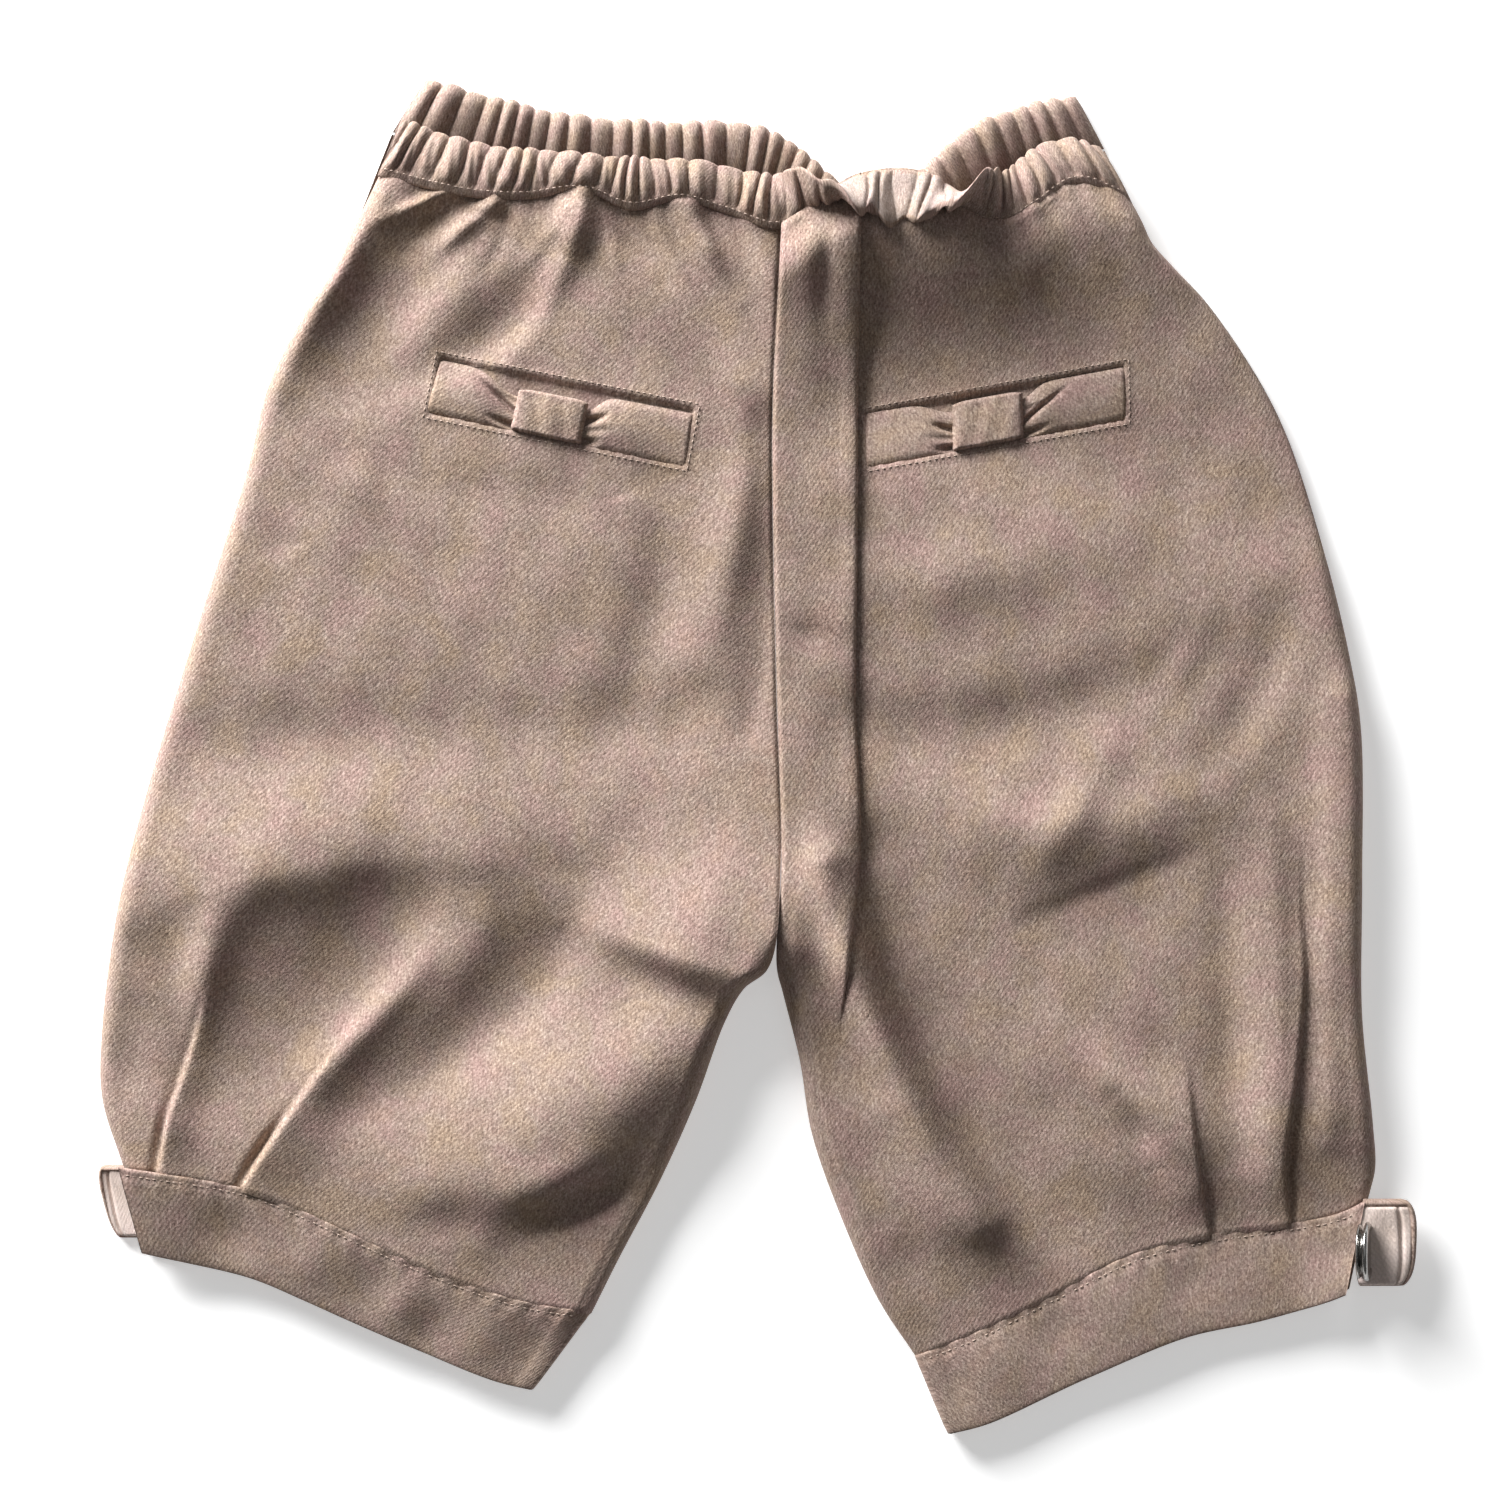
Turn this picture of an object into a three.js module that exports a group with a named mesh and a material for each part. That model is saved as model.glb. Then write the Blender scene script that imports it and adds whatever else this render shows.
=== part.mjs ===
// Baby knickerbocker trousers of napped wool twill, laid flat with the back uppermost.
// Millimetres. +X is to the viewer's right, +Y towards the waist, +Z up from the surface they lie on.
// Every piece of cloth is a closed wall between an outer and an inner grid of points.
// The leg backs are sewn from their outline, lifted by a table of folds, and rounded over at the sides.
import * as THREE from "three";

// Driving sizes
const CLOTH = 2.0; // napped wool twill with its turned seam allowances
const SEAM = 0.3; // gap between two pieces at a seam
const SEAT_GAP = SEAM / 2 + 0.05; // each half back from the line of the centre seam
const FRONT_WAIST_GAP = 0.6; // a little more where a front follows the gathered band in short straights
const CENTRE_FRONT = 0.545; // share of the front band that lies over the centre front seam
const CENTRE_FRONT_GAP = 0.002; // and how far on each side of it a front starts
const BAND_HEIGHT = 13; // elastic waistband casing
const BAND_THICK = 3.4; // two cloths and the elastic
const BAND_FAN = 0.55; // how far the gathers turn with the seam: 0 keeps them all upright, 1 square to it
const BAND_CRUMPLE = 0.16; // share of its height that the band loses where it stands on edge
const BAND_BOW = 0.6; // bulge of the band between its two edges
const BAND_EDGE = 0.12; // how far round its section the band's rounded edge starts
const BAND_EDGE_THICK = 0.62; // thickness at that edge, as a share
const FRONT_BAND_TOP = { edge: 2.2, crown: 0.9 }; // level of its edges, and its middle above them
const FRONT_BAND_SLANT = { left: -6.2, right: 5.6 }; // how far the lower edge is pulled out at its ends
const FRONT_BAND_FAN = 0.6;
const CUFF_THICK = 2.4; // doubled cuff
const BACK_LEVEL = 6.8; // usual top of the upper layer
const BACK_LOWEST = 4.5; // top of the upper layer where it lies on the lower one
const BACK_HIGHEST = 10.4; // top of the highest fold
const FOLD_DEPTH = 1.45; // every height in the tables of folds is multiplied by this
const RIM_LEVEL = CLOTH + SEAM; // where the upper layer lands on the lower one
const SIDE_ROUND = 8; // how far in from the side the upper layer starts to turn down
const SEAM_EDGE = 3; // and from the centre seam, where it stays level
const WAIST_HOLD = 0.6; // share of a fold's height left at the waist seam
const WAIST_EASE = 0.04; // and the share of the leg's length by which it is whole again
const CUFF_EASE = 0.035; // share of the leg's length in which the folds die out above the cuff
const CUFF_HOLD = { below: 0.7, above: 0.4 }; // what is left of them at the cuff
const CROTCH_EASE = 0.0325; // share of the leg's length in which the edge turns down at the crotch
const LAP_HEIGHT = 2.4; // the lap of cloth beside the centre back seam stands this much higher
const LAP_STEP = 1.5; // half the width of its steep edge
const LAP_END = { full: -46, gone: -66 }; // the lap dies out between these two places below the crotch
const LAP_SHARE = 0.14; // share of the way across a row at which the lap's edge is looked up
const FRONT_LIFT = 0.8; // the edge of a front turns up this much
const FRONT_LIFT_REACH = 3; // within this distance of its side
const CUFF_LEVEL = 2 * CUFF_THICK + 0.8; // top of a cuff
const CUFF_WAVE = 0.25; // a cuff's upper face is this uneven
const CUFF_WAVE_RATE = 0.12; // and this quickly, in radians a millimetre
const CUFF_WAVE_EASE = 0.15; // share of its length in which that starts
const GATHER_PITCH = 4.6; // usual spacing of the gathers on the elastic
const GATHER_SHARPNESS = 0.8; // below 1 the creases are narrower than the ridges
const GATHER_RISE = { outer: 0.75, inner: 0.3, edge: 0.5, front: 0.7 }; // crease to ridge on each face
const GATHER_DRIFT = [{ size: 1.1, rate: 0.19, turns: 1 }, { size: 0.7, rate: 0.083, turns: 2 }];
const BACK_GATHERS = 0.4; // where each band starts in that drift
const FRONT_GATHERS = 1.7;
const WELT_THICK = 1.2;
const LOOP_THICK = 1.1;
const WELT_GAP = 0.45; // welt over a curved panel, so that it clears the panel's facets
const LOOP_GAP = 0.65; // loop over the welt
const BUTTON_RADIUS = 7;
const BUTTON_THICK = 3.2;
const TAB_CLOTH = 1.2;
const TAB_FACING = 1.0;
const TAB_ROLL = 2.2; // how much higher the rolled edge of a tab stands
const TAB_CORNER = 3.2; // roundness of a tab's end: 2 is an ellipse, more is squarer
const TAB_SHOULDER = 0.62; // reach of a tab's two sides, as a share of the reach of its middle
const FACING_EDGES = { fromTop: 0.22, toBottom: 0.93, fromRoot: 0.03, toEnd: 0.66 }; // shares of the tab
const FACING_CREASE = 0.4;

// How finely the walls are divided
const BACK_ROWS = 27;
const BACK_COLUMNS = 19;
const FRONT_ROWS = 12;
const FRONT_COLUMNS = 12;
const BAND_STEPS_PER_GATHER = 3;
const CUFF_COLUMNS = 18;
const LAST_ROW = 0.9985; // a leg panel stops just short of the cuff line
const EDGE_TURNS = [90, 62, 36, 14]; // degrees round a rounded side at each column
const FRONT_EDGE = [0, 1.2, 4]; // columns in from the side of a front
const FRONT_WAIST_POINTS = 25;
const BAND_ROWS = 5;
const CUFF_ROWS = 5;
const CUFF_UNDER_COLUMNS = 8;
const CUFF_TURNS = [30, 60, 90, 120, 150]; // degrees round the fold at the inside of the leg
const CUFF_TURN_SHARE = 0.045; // share of the cuff's length that the fold takes
const CUFF_HEADING_SHARE = 0.1; // share of its length over which its heading is taken
const BACK_BAND_REACH = 0.04; // shares of a band's length either side, over which its heading is taken
const FRONT_BAND_REACH = 0.03;
const LAP_STEPS = 61;
const LAP_COLUMNS = [-4.5, -LAP_STEP, 0, LAP_STEP, 4]; // columns either side of the lap's free edge
const FOLD_STEPS = 14; // straights along the line of a fold
const WELT_ROWS = 5;
const WELT_COLUMNS = 15;
const LOOP_ROWS = 6;
const LOOP_COLUMNS = 5;
const TAB_ROWS = 7;
const TAB_COLUMNS = 5;
const FACING_ROWS = 6;
const FACING_COLUMNS = 4;
const ON_EDGE = 1e-6; // how far past its edge a facet still holds a point, as a share
const BUTTON_SIDES = 24;

// Outlines, as x and y. Each is one line of the garment, from the waist down or from the middle out.
const LINES = {
  centreBack: [[6, 126], [4, 85], [4, 60], [5, 13], [6, -25], [5, -50.5]],
  leftInseam: [[3, -50.5], [-3, -56], [-7.5, -64], [-14.5, -83], [-23, -102], [-33, -121], [-39, -133]],
  rightInseam: [[5, -50.5], [6.5, -57], [10.5, -73], [13.5, -91], [20.5, -111], [29.5, -131], [38, -144]],
  leftSide: [[-91, 139.5], [-96, 129], [-101, 118], [-109, 106], [-117.5, 89], [-122.5, 69], [-134, 33],
    [-146, -6], [-153.5, -36], [-157.5, -66], [-157.5, -82], [-152.6, -98]],
  rightSide: [[90.4, 133.5], [93, 128.5], [95.4, 123.5], [100, 118.4], [108.8, 109], [121.6, 90],
    [128.4, 76], [137, 49], [143, 24], [145.7, 6], [145.9, -30], [145.9, -62], [148.5, -88], [149.2, -99],
    [147.8, -105.5]],
  leftWaist: [[6, 126], [-7, 130], [-18, 133], [-30, 131], [-41, 135], [-56, 133.5], [-70, 134.5],
    [-91, 139.5]],
  rightWaist: [[6, 126], [11, 129], [17, 133.5], [24, 137.5], [33, 139], [42, 137.5], [47, 133], [53, 128],
    [60, 127], [67, 131], [77, 136.5], [84, 136], [90.4, 133.5]],
  leftCuffSeam: [[-39, -133], [-57, -130], [-76, -123.5], [-95, -115], [-110, -108], [-124, -103],
    [-152.6, -98]],
  rightCuffSeam: [[38, -144], [54, -137.5], [73, -128], [90, -119.5], [107, -115], [128, -112], [140, -109.5],
    [147.8, -105.5]],
  leftHem: [[-53.5, -152.6], [-62, -150.6], [-80, -143.5], [-96, -136.6], [-108.5, -131], [-121, -125.8],
    [-135, -122.2], [-147.2, -119.3]],
  rightHem: [[46, -163.2], [56, -160.5], [80, -149.5], [103, -140], [121, -136], [136, -131.5],
    [143, -128.6]],
  frontBandTop: [[-79.5, 163.3], [-64, 159.2], [-45, 154.8], [-22, 153], [-2, 152.5], [9, 148], [17, 141],
    [24, 136.6], [31, 137.6], [40, 141.6], [47, 148.4], [56, 154], [66, 157.2], [77, 159.4]],
};

// Folds of the upper layer. Each runs from start past mid to end; across it has a half-width on its left and
// right as one walks along it, and a height at its start, middle and end: above 0 a ridge, below 0 a trough.
const LEFT_FOLDS = [
  {
    name: "thigh ridge", start: [-148, -30], mid: [-109, -26], end: [-55, -12],
    left: 22, right: 15, height: [1.6, 2.2, 0.3],
  },
  {
    name: "trough above it", start: [-138, 4], mid: [-97, 10], end: [-47, 16],
    left: 10, right: 9, height: [-0.8, -0.9, -0.2],
  },
  {
    name: "trough to the outer pleat", start: [-80, -32], mid: [-109, -54], end: [-135, -76],
    left: 9, right: 9, height: [-0.5, -2.2, -1.2],
  },
  {
    name: "ridge to the outer pleat", start: [-124, -33], mid: [-132, -58], end: [-139, -95],
    left: 3.5, right: 6, height: [0.2, 1.4, 1.6],
  },
  {
    name: "outer pleat", start: [-141, -74], mid: [-142, -88], end: [-143, -101],
    left: 2.5, right: 5, height: [-0.2, -1.6, -2.0],
  },
  {
    name: "ridge to the inner pleat", start: [-77, -46], mid: [-97, -68], end: [-121, -100],
    left: 6, right: 4, height: [0.2, 1.6, 1.7],
  },
  {
    name: "inner pleat", start: [-110, -76], mid: [-118, -91], end: [-125, -104],
    left: 5, right: 2.5, height: [-0.2, -1.5, -2.0],
  },
  {
    name: "knee trough", start: [-57, -38], mid: [-79, -69], end: [-113, -98],
    left: 8, right: 8, height: [-0.6, -1.7, -0.8],
  },
  {
    name: "ridge from the crotch", start: [0, -46], mid: [-36, -74], end: [-87, -112],
    left: 9, right: 21, height: [1.3, 2.3, 1.2],
  },
  {
    name: "trough at the inseam", start: [-12, -70], mid: [-45, -99], end: [-76, -121],
    left: 8, right: 8, height: [-0.6, -1.7, -1.0],
  },
  {
    name: "waist trough 1", start: [-77, 135], mid: [-95, 118], end: [-112, 92],
    left: 6, right: 8, height: [-1.3, -1.5, -0.3],
  },
  {
    name: "waist ridge 1", start: [-70, 133], mid: [-87, 109], end: [-97, 92],
    left: 6, right: 5, height: [1.1, 1.4, 0.2],
  },
  {
    name: "waist trough 2", start: [-50, 131], mid: [-67, 109], end: [-88, 92],
    left: 6, right: 6, height: [-1.3, -1.5, -0.2],
  },
  {
    name: "waist ridge 2", start: [-41, 134], mid: [-50, 116], end: [-66, 98],
    left: 7, right: 6, height: [1.6, 1.2, 0.1],
  },
  {
    name: "waist ridge 3", start: [-40, 134], mid: [-22, 108], end: [2, 84],
    left: 6, right: 5, height: [1.5, 1.4, 0.2],
  },
  {
    name: "waist trough 3", start: [-29, 132], mid: [-24, 122], end: [-14, 108],
    left: 5, right: 5, height: [-1.2, -0.9, -0.1],
  },
  {
    name: "waist ridge 4", start: [-17, 133], mid: [-10, 117], end: [5, 93],
    left: 5, right: 5, height: [1.3, 1.0, 0.2],
  },
  {
    name: "hollow over the pocket", start: [-42, 101], mid: [-28, 98], end: [-12, 93],
    left: 7, right: 6, height: [-0.3, -0.9, -0.3],
  },
  {
    name: "valley beside the seam", start: [6, 112], mid: [1, 50], end: [-12, 2],
    left: 4, right: 8, height: [-1.2, -1.5, -0.3],
  },
  {
    name: "ridge beside the valley", start: [-5, 80], mid: [-9, 46], end: [-19, 14],
    left: 7, right: 9, height: [0.3, 1.0, 0.3],
  },
];
const RIGHT_FOLDS = [
  {
    name: "roll over the front band", start: [12, 129], mid: [30, 131], end: [50, 128],
    left: 8, right: 9, height: [0.7, 0.9, 0.6],
  },
  {
    name: "hollow under the waist", start: [32, 112], mid: [62, 106], end: [98, 106],
    left: 10, right: 12, height: [-0.9, -1.4, -0.8],
  },
  {
    name: "ridge at the side of the waist", start: [64, 127], mid: [78, 129], end: [95, 115],
    left: 6, right: 6, height: [1.0, 1.5, 0.3],
  },
  {
    name: "seat trough", start: [29, 14], mid: [52, 26], end: [88, 45],
    left: 9, right: 9, height: [-1.5, -1.6, -0.5],
  },
  {
    name: "seat ridge", start: [31, -3], mid: [80, -8], end: [114, 37],
    left: 10, right: 9, height: [0.6, 1.5, 0.6],
  },
  {
    name: "side trough", start: [129, 35], mid: [120, 13], end: [106, -2],
    left: 5, right: 6, height: [-0.4, -1.3, -0.3],
  },
  {
    name: "thigh hollow", start: [64, -43], mid: [86, -27], end: [114, -17],
    left: 6, right: 8, height: [-1.0, -1.8, -0.6],
  },
  {
    name: "trough from the lap", start: [27, -32], mid: [37, -66], end: [62, -116],
    left: 9, right: 7, height: [-1.2, -2.0, -0.8],
  },
  {
    name: "ridge along the inseam", start: [20, -50], mid: [24, -72], end: [26, -104],
    left: 7, right: 5, height: [1.6, 1.2, 0.4],
  },
  {
    name: "shin ridge", start: [72, -64], mid: [92, -82], end: [104, -106],
    left: 6, right: 5, height: [0.4, 1.5, 1.2],
  },
  {
    name: "inner pleat", start: [101, -74], mid: [105, -95], end: [110, -117],
    left: 4, right: 2.5, height: [-0.5, -1.7, -2.0],
  },
  {
    name: "ridge between the pleats", start: [121, -18], mid: [116, -60], end: [118, -112],
    left: 7, right: 8, height: [0.7, 1.5, 1.2],
  },
  {
    name: "outer pleat", start: [128, -22], mid: [130.5, -56], end: [128, -113],
    left: 3, right: 3, height: [-0.8, -2.0, -2.0],
  },
  {
    name: "side ridge", start: [137, 14], mid: [138, -24], end: [137, -92],
    left: 5, right: 5, height: [0.5, 1.1, 0.8],
  },
  {
    name: "hollow at the cuff", start: [30, -112], mid: [38, -122], end: [48, -131],
    left: 6, right: 6, height: [-0.5, -1.2, -0.8],
  },
];

// The lap of cloth beside the centre back seam: its free edge, from the waist to the crotch.
const LAP_EDGE = [[25.5, 139], [25.4, 120], [25, 85], [24.5, 47], [24, 13], [25, -25], [22, -48], [21, -60]];

// Pocket windows: corners from the one nearest the centre and the waist, then outwards, then below.
const POCKETS = {
  left: { top: [[-15, 84], [-75.5, 95.5]], bottom: [[-17, 69], [-79, 82.5]], loopAt: 0.54 },
  right: { top: [[26.5, 83], [88.5, 94]], bottom: [[26.5, 69], [89, 81]], loopAt: 0.47 },
};
const LOOP_WIDTH = 17;
const WELT_PINCH = 0.26; // share of the welt's height drawn in at its loop
const WELT_PINCH_BELOW = 0.06; // and from below
const PINCH_REACH = 0.17; // share of the welt's length over which it is drawn in
const PINCH_SPREAD = 0.2; // share of the pinch left at the foot of the welt
const WELT_PUFF = 0.7; // height of the two lobes
const PUFF_REACH = 0.16;
const LOOP_TOP = 0.9; // the loop starts this share of the pinch down from the window's top
const LOOP_BOTTOM = 0.96;
const LOOP_PUFF = 0.5;

// The waistband over the back: its hinge on the seam, the level of that hinge, how far it is rolled (degrees)
// and how far its free edge is pulled sideways.
const BACK_BAND = [
  { at: [-91, 140.4], level: 5.4, roll: 10, slant: 4 },
  { at: [-70, 135.4], level: 5.8, roll: 14, slant: 1 },
  { at: [-56, 134.4], level: 6.0, roll: 30, slant: 0 },
  { at: [-41, 135.9], level: 6.0, roll: 46, slant: 0 },
  { at: [-30, 131.9], level: 5.8, roll: 28, slant: 0 },
  { at: [-18, 133.9], level: 6.0, roll: 42, slant: 0 },
  { at: [-7, 130.9], level: 6.0, roll: 40, slant: 0 },
  { at: [5, 127.2], level: 6.8, roll: 24, slant: 0 },
  { at: [11, 129.9], level: 9.0, roll: 46, slant: 0 },
  { at: [17, 134.2], level: 10.2, roll: 86, slant: 0 },
  { at: [24, 137.4], level: 10.8, roll: 124, slant: 0 },
  { at: [33, 138.6], level: 11.2, roll: 146, slant: 0 },
  { at: [42, 137.4], level: 10.8, roll: 122, slant: 0 },
  { at: [47, 134.1], level: 10.0, roll: 84, slant: 0 },
  { at: [53, 129.2], level: 8.2, roll: 44, slant: 0 },
  { at: [60, 128.2], level: 6.6, roll: 34, slant: 0 },
  { at: [67, 131.9], level: 6.0, roll: 38, slant: -1 },
  { at: [77, 137.9], level: 6.0, roll: 44, slant: -4.5 },
  { at: [90.2, 134.2], level: 5.4, roll: 10, slant: -10 },
];

// The button's section, from the middle of its back to the middle of its cap, as shares of its two sizes.
const BUTTON_PROFILE = [
  { radius: 0, height: -1 },
  { radius: 0.86, height: -1 },
  { radius: 0.93, height: -0.7 },
  { radius: 0.86, height: -0.35 },
  { radius: 0.72, height: -0.1 },
  { radius: 0.94, height: 0.15 },
  { radius: 1, height: 0.5 },
  { radius: 0.9, height: 0.92 },
  { radius: 0.5, height: 1 },
  { radius: 0, height: 1 },
];
const BUTTON_PLACE = { at: [145.4, -118.4, 9.6], tilt: 74 };

// The two tabs: the root from its upper end to its lower end, and the reach outwards.
const TABS = {
  left: { root: [[-153.1, -98.8], [-148.5, -116.4]], reach: -6.8 },
  right: { root: [[148.4, -106.4], [147.6, -127.4]], reach: 10.8 },
};

// The upper end of each cuff: where it stops, and where it starts to rise over its tab and how much.
const CUFF_ENDS = {
  left: { stop: 1, from: 0.82, rise: 1.9 },
  right: { stop: 0.972, from: 0.84, rise: 2.2 },
};

// Small helpers
const { clamp, lerp, degToRad: radians } = THREE.MathUtils;
const smooth = (low, high, x) => THREE.MathUtils.smoothstep(x, low, high);
const mix = (a, b, k) => a.map((value, axis) => lerp(value, b[axis], k));
const range = (count) => Array.from({ length: count }, (_, i) => i / (count - 1));
const bell = (x, width) => Math.exp(-((x / width) ** 2));
const shifted = (points, dx, dy) => points.map(([x, y]) => [x + dx, y + dy]);
const distanceBetween = (a, b) => Math.hypot(b[0] - a[0], b[1] - a[1]);
const lengthOf = (points) => points.slice(1).reduce((sum, p, i) => sum + distanceBetween(points[i], p), 0);

// The heading from one point to another, as a unit vector in plan.
function heading(from, to) {
  const length = distanceBetween(from, to);
  return [(to[0] - from[0]) / length, (to[1] - from[1]) / length];
}

// A smooth curve in plan through a table of points, by share of its length.
function curveThrough(points) {
  const knots = points.map(([x, y]) => new THREE.Vector3(x, y, 0));
  const curve = new THREE.CatmullRomCurve3(knots, false, "centripetal");
  curve.arcLengthDivisions = 400;
  return (share) => curve.getPointAt(clamp(share, 0, 1)).toArray().slice(0, 2);
}

// A smooth number through a table of numbers, each at its share of the way.
function numberThrough(values, shares) {
  return (share) => {
    let k = 0;
    while (k < shares.length - 2 && share > shares[k + 1]) k += 1;
    return lerp(values[k], values[k + 1], smooth(shares[k], shares[k + 1], share));
  };
}

// Height of one fold at a point: greatest on the fold's line, and less the further away.
function foldHeight(fold, x, y) {
  const control = fold.mid.map((m, axis) => 2 * m - (fold.start[axis] + fold.end[axis]) / 2);
  const lineAt = (k) => mix(mix(fold.start, control, k), mix(control, fold.end, k), k);
  let nearest = { distance: Infinity };
  let from = fold.start;
  for (let i = 1; i <= FOLD_STEPS; i += 1) {
    const to = lineAt(i / FOLD_STEPS);
    const run = [to[0] - from[0], to[1] - from[1]];
    const square = run[0] ** 2 + run[1] ** 2;
    const along = clamp(((x - from[0]) * run[0] + (y - from[1]) * run[1]) / square, 0, 1);
    const away = [x - from[0] - along * run[0], y - from[1] - along * run[1]];
    const distance = Math.hypot(...away);
    if (distance < nearest.distance) {
      const turn = run[0] * away[1] - run[1] * away[0];
      nearest = { distance, onLeft: turn > 0, share: (i - 1 + along) / FOLD_STEPS };
    }
    from = to;
  }
  const height = numberThrough(fold.height, [0, 0.5, 1])(nearest.share);
  return height * bell(nearest.distance, nearest.onLeft ? fold.left : fold.right);
}
const foldsAt = (folds, x, y) => folds.reduce((sum, fold) => sum + foldHeight(fold, x, y), 0);

// Keeps a level between two limits, easing into each.
function softLimit(level, low, high) {
  const middle = (low + high) / 2;
  const half = (high - low) / 2;
  return middle + half * Math.tanh((level - middle) / half);
}

// A closed wall between two grids of points with the same rows and columns.
function wall(name, outer, inner, material) {
  const rows = outer.length;
  const columns = outer[0].length;
  const positions = [...outer.flat(), ...inner.flat()].flat();
  const index = [];
  const at = (side, row, column) => side * rows * columns + row * columns + column;
  const quad = (a, b, c, d) => index.push(a, b, c, a, c, d);
  for (let r = 0; r < rows - 1; r += 1) {
    for (let c = 0; c < columns - 1; c += 1) {
      quad(at(0, r, c), at(0, r + 1, c), at(0, r + 1, c + 1), at(0, r, c + 1));
      quad(at(1, r, c), at(1, r, c + 1), at(1, r + 1, c + 1), at(1, r + 1, c));
    }
  }
  for (let c = 0; c < columns - 1; c += 1) {
    quad(at(0, 0, c), at(0, 0, c + 1), at(1, 0, c + 1), at(1, 0, c));
    quad(at(0, rows - 1, c), at(1, rows - 1, c), at(1, rows - 1, c + 1), at(0, rows - 1, c + 1));
  }
  for (let r = 0; r < rows - 1; r += 1) {
    quad(at(0, r, 0), at(1, r, 0), at(1, r + 1, 0), at(0, r + 1, 0));
    quad(at(0, r, columns - 1), at(0, r + 1, columns - 1), at(1, r + 1, columns - 1), at(1, r, columns - 1));
  }
  const geometry = new THREE.BufferGeometry();
  geometry.setAttribute("position", new THREE.Float32BufferAttribute(positions, 3));
  geometry.setIndex(index);
  return namedMesh(name, geometry, material);
}

function volumeOf(geometry) {
  const p = geometry.getAttribute("position");
  const index = geometry.getIndex().array;
  const corner = (i) => new THREE.Vector3().fromBufferAttribute(p, index[i]);
  let volume = 0;
  for (let i = 0; i < index.length; i += 3) {
    volume += corner(i).dot(corner(i + 1).cross(corner(i + 2))) / 6;
  }
  return volume;
}

// A mesh whose faces all look outwards, whichever way round its grid was walked.
function namedMesh(name, geometry, material) {
  if (volumeOf(geometry) < 0) {
    const turned = [...geometry.getIndex().array];
    for (let i = 0; i < turned.length; i += 3) {
      [turned[i + 1], turned[i + 2]] = [turned[i + 2], turned[i + 1]];
    }
    geometry.setIndex(turned);
  }
  geometry.computeVertexNormals();
  const mesh = new THREE.Mesh(geometry, material);
  mesh.name = name;
  return mesh;
}

// The plan of a leg: a patch between its inner edge, side, waist line and cuff line.
// u runs from the inner edge to the side and v from the waist to the cuff.
function legPlan(innerPoints, sidePoints, waistPoints, cuffPoints) {
  const inner = curveThrough(innerPoints);
  const side = curveThrough(sidePoints);
  const waist = curveThrough(waistPoints);
  const cuffLine = curveThrough(cuffPoints);
  const corners = [inner(0), side(0), inner(1), side(1)];
  return (u, v) => [0, 1].map((axis) =>
    (1 - u) * inner(v)[axis] + u * side(v)[axis] + (1 - v) * waist(u)[axis] + v * cuffLine(u)[axis] -
    (1 - u) * (1 - v) * corners[0][axis] - u * (1 - v) * corners[1][axis] -
    (1 - u) * v * corners[2][axis] - u * v * corners[3][axis]);
}

// One half of the trousers: the lines that its panels are cut to, and the folds of its back.
function halfOf(side, folds, outward) {
  const seat = LINES.centreBack;
  const inseam = LINES[`${side}Inseam`];
  return {
    inner: [...shifted(seat.slice(0, -1), outward * SEAT_GAP, 0), ...inseam],
    side: LINES[`${side}Side`],
    waist: LINES[`${side}Waist`],
    cuff: LINES[`${side}CuffSeam`],
    hem: LINES[`${side}Hem`],
    crotch: lengthOf(seat) / (lengthOf(seat) + lengthOf(inseam)),
    folds,
    outward,
  };
}
const leftHalf = halfOf("left", LEFT_FOLDS, -1);
const rightHalf = halfOf("right", RIGHT_FOLDS, 1);

// How much the lap beside the centre seam lifts a point of the right back, and where its free edge is.
const lapEdge = curveThrough(LAP_EDGE);
const lapTable = range(LAP_STEPS).map((share) => lapEdge(share));
function lapEdgeX(y) {
  const found = lapTable.findIndex((p) => p[1] <= y);
  if (found <= 0) return found < 0 ? lapTable.at(-1)[0] : lapTable[0][0];
  const [a, b] = [lapTable[found - 1], lapTable[found]];
  return lerp(a[0], b[0], (a[1] - y) / (a[1] - b[1]));
}
function lapLift(x, y) {
  const step = 1 - smooth(-LAP_STEP, LAP_STEP, x - lapEdgeX(y));
  return LAP_HEIGHT * step * smooth(LAP_END.gone, LAP_END.full, y);
}

// Top of the upper layer at a point of one half.
function backLevel(half, x, y, v) {
  const lap = half.outward > 0 ? lapLift(x, y) : 0;
  const folds = FOLD_DEPTH * foldsAt(half.folds, x, y) + lap;
  const hold = lerp(WAIST_HOLD, 1, smooth(0, WAIST_EASE, v));
  const free = softLimit(BACK_LEVEL + folds * hold, BACK_LOWEST, BACK_HIGHEST);
  const atCuff = clamp(free, CUFF_LEVEL - CUFF_HOLD.below, CUFF_LEVEL + CUFF_HOLD.above);
  return lerp(free, atCuff, smooth(1 - CUFF_EASE, 1, v));
}

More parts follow.
